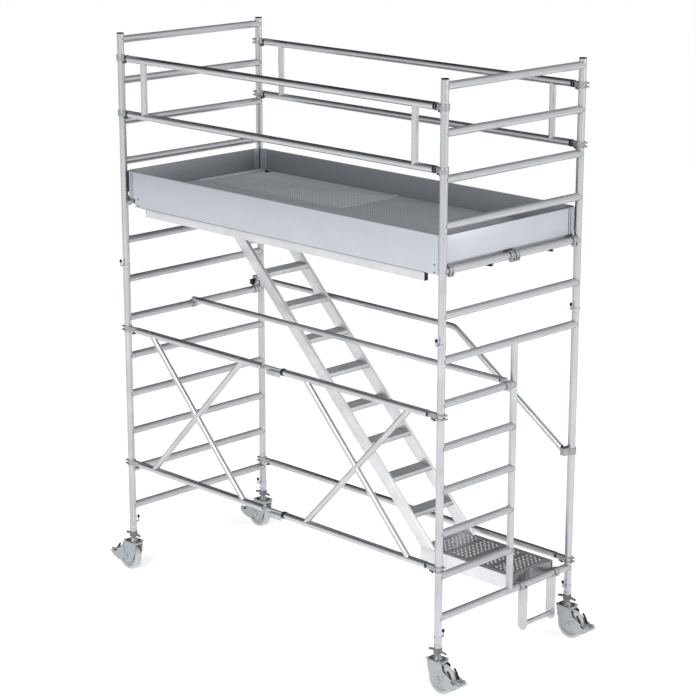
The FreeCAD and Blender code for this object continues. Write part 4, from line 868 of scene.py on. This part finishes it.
def swivel_shadow_ring():
    """A black ring under the plate: a painted shadow line between plate and housing."""
    return hoop("shadow_ring", (0, 0, PLATE_TOP - 0.0075), 0.040, 0.0022, "Z", 40, 8)


def plate_dish():
    """The raised ring that the spindle's collar stands in."""
    return hoop("dish", (0, 0, PLATE_TOP), 0.0365, 0.0030, "Z", 40, 8)


def plate_face():
    """A dark layer over the top of the plate inside its bright rim."""
    return block("face", (-FACE_X, -FACE_Y, PLATE_TOP - 0.0006),
                 (FACE_X, FACE_Y, PLATE_TOP + 0.0008), 0.0004)


def fork_painted_shade():
    """Painted shade: black strips where deep shade falls between the wheel and the fork's walls."""
    shade_strips = [block("shade_strip", (0.030, sign * SHADE_STRIP_Y - 0.0008, 0.120),
                   (0.082, sign * SHADE_STRIP_Y + 0.0008, 0.205), 0.0004) for sign in (-1, 1)]
    return join("fork_shade", shade_strips)


def pedal_details():
    ribs = [block("rib", (x, -0.034, 0.1118), (x + 0.004, 0.034, 0.1150), 0.001)
            for x in (0.176, 0.185, 0.194, 0.203)]
    lugs = [block("lug", (PEDAL_TIP - 0.030, y - 0.004, 0.108),
                  (PEDAL_TIP - 0.002, y + 0.004, 0.130), 0.003) for y in (-0.030, 0.030)]
    return join("pedal_details", ribs + lugs)


def pedal_slots_and_shade():
    """The slot and pivot cap in each cheek, and black blocks of painted shade inside it that follow
    the wheel.
    """
    pivot_x, pivot_z = PEDAL_PIVOT
    pieces = []
    for sign in (-1, 1):
        y = sign * PEDAL_OUTER
        pieces.append(block("slot", (0.150, y - 0.0008, 0.1125), (0.184, y + 0.0008, 0.1235),
                            0.0006, turn=23.0))
        # Painted shade: black blocks along the wheel where the cheek's inner wall lies in shade.
        for angle in CHEEK_SHADE_ANGLES:
            x = TRAIL + CHEEK_SHADE_ARC * math.cos(math.radians(angle))
            z = WHEEL_RADIUS + CHEEK_SHADE_ARC * math.sin(math.radians(angle))
            pieces.append(block("cheek_shade", (x - 0.006, sign * CHEEK_SHADE_Y - 0.004, z - 0.013),
                                (x + 0.006, sign * CHEEK_SHADE_Y + 0.004, z + 0.013), 0.001,
                                turn=-angle))
        pieces.append(rod("pivot_cap", (pivot_x, y - 0.001, pivot_z),
                          (pivot_x, y + 0.001, pivot_z), 0.0055, 0.0005))
    return join("pedal_slots_and_shade", pieces)


def at_corner(corner):
    x = POST_X if corner.endswith("right") else -POST_X
    y = POST_Y if corner.startswith("back") else -POST_Y
    return shift(x, y, 0, x < 0)


CASTOR_DETAILS = (
    ("plate_bolts", castor_bolts, "spindle", "spindle_zinc", zinc),
    ("plate_dish", plate_dish, "spindle", "spindle_zinc", zinc),
    ("plate_face", plate_face, "spindle", "spindle_zinc", dark_zinc),
    # Black strips of painted shade between the wheel and the fork's walls.
    ("fork_painted_shade", fork_painted_shade, "fork", "black_moulding", black),
    ("axle_hardware", axle_hardware, "fork", "spindle_zinc", zinc),
    # A black ring of painted shadow under the plate.
    ("swivel_shadow_ring", swivel_shadow_ring, "fork", "black_moulding", black),
    ("pedal_bar", pedal_details, "pedal", "pedal_steel", paint),
    # The pedal's slots and pivot caps, with black blocks of painted shade along the wheel.
    ("pedal_slots_and_shade", pedal_slots_and_shade, "pedal", "black_moulding", black),
)
for label, maker, kind, slot_name, material in CASTOR_DETAILS:
    source = maker()
    for corner in CORNERS:
        copy = twin(source, at_corner(corner))
        copy.name = copy.data.name = f"{label}_{corner}"
        finish_piece(copy, f"{kind}_{corner}", material)
    bpy.data.objects.remove(source)
print(len(CASTOR_DETAILS) * len(CORNERS), "castor details")

# %% [markdown]
# ## Floor, light and camera
# A white floor under large soft lights, as a catalogue shows bright metal. Round tube shows
# whatever surrounds it, so the surroundings are pale with one soft dark stretch high on the
# left, which draws the dark line along the top of each rail. The camera stands off the front
# right corner, far away, so that verticals stay nearly parallel.

# %%
def stand_floor():
    ready()
    bpy.ops.mesh.primitive_plane_add(size=160, location=(0, 0, -0.0005))
    floor = bpy.context.object
    floor.name = "studio_floor"
    paper = bpy.data.materials.new("studio paper")
    paper.use_nodes = True
    surface = paper.node_tree.nodes["Principled BSDF"]
    surface.inputs["Base Color"].default_value = tone(0.90)
    surface.inputs["Roughness"].default_value = 0.95
    surface.inputs["Specular IOR Level"].default_value = 0.0
    surface.inputs["Emission Color"].default_value = tone(1.0)
    surface.inputs["Emission Strength"].default_value = 0.50
    floor.data.materials.append(paper)
    return floor


def soft_light(name, spot, aim, width, power):
    lamp = bpy.data.lights.new(name, "AREA")
    lamp.shape, lamp.size, lamp.energy = "SQUARE", width, power
    holder = bpy.data.objects.new(name, lamp)
    bpy.context.scene.collection.objects.link(holder)
    holder.location = spot
    holder.rotation_euler = (Vector(aim) - Vector(spot)).to_track_quat("-Z", "Y").to_euler()
    return holder


def studio_sky():
    """Pale surroundings with one soft dark stretch high on the left."""
    world = bpy.context.scene.world or bpy.data.worlds.new("studio")
    bpy.context.scene.world = world
    world.use_nodes = True
    tree = world.node_tree
    way = wire(tree, "ShaderNodeTexCoord")
    toward = Vector((-0.75, 0.25, 0.60)).normalized()
    near = wire(tree, "ShaderNodeVectorMath", {0: way.outputs["Generated"], 1: toward},
                operation="DOT_PRODUCT")
    shade = span(tree, near.outputs["Value"], 0.45, 0.80)
    colour = blend_colour(tree, shade, tone(0.84, 0.845, 0.86), tone(0.035, 0.037, 0.040))
    background = tree.nodes["Background"]
    tree.links.new(colour, background.inputs[0])
    background.inputs[1].default_value = 1.0


stand_floor()
soft_light("key", (3.0, -11.0, 9.0), (0, 0, 1.8), 6.0, 700.0)
soft_light("fill", (11.0, 3.0, 6.0), (0, 0, 1.8), 6.0, 350.0)
studio_sky()
bpy.context.scene.view_settings.view_transform = "Standard"

lens = bpy.data.cameras.new("camera")
lens.lens, lens.sensor_width = 112.25, 36.0
lens.clip_end = 200.0
viewer = bpy.data.objects.new("camera", lens)
bpy.context.scene.collection.objects.link(viewer)
viewer.matrix_world = (Matrix.Translation((10.076, -10.029, 5.755))
                       @ Matrix.Rotation(math.radians(44.971), 4, "Z")
                       @ Matrix.Rotation(math.radians(90.0 - 15.390), 4, "X")
                       @ Matrix.Rotation(math.radians(0.067), 4, "Z"))
bpy.context.scene.camera = viewer
print("camera at", [round(v, 3) for v in viewer.location])
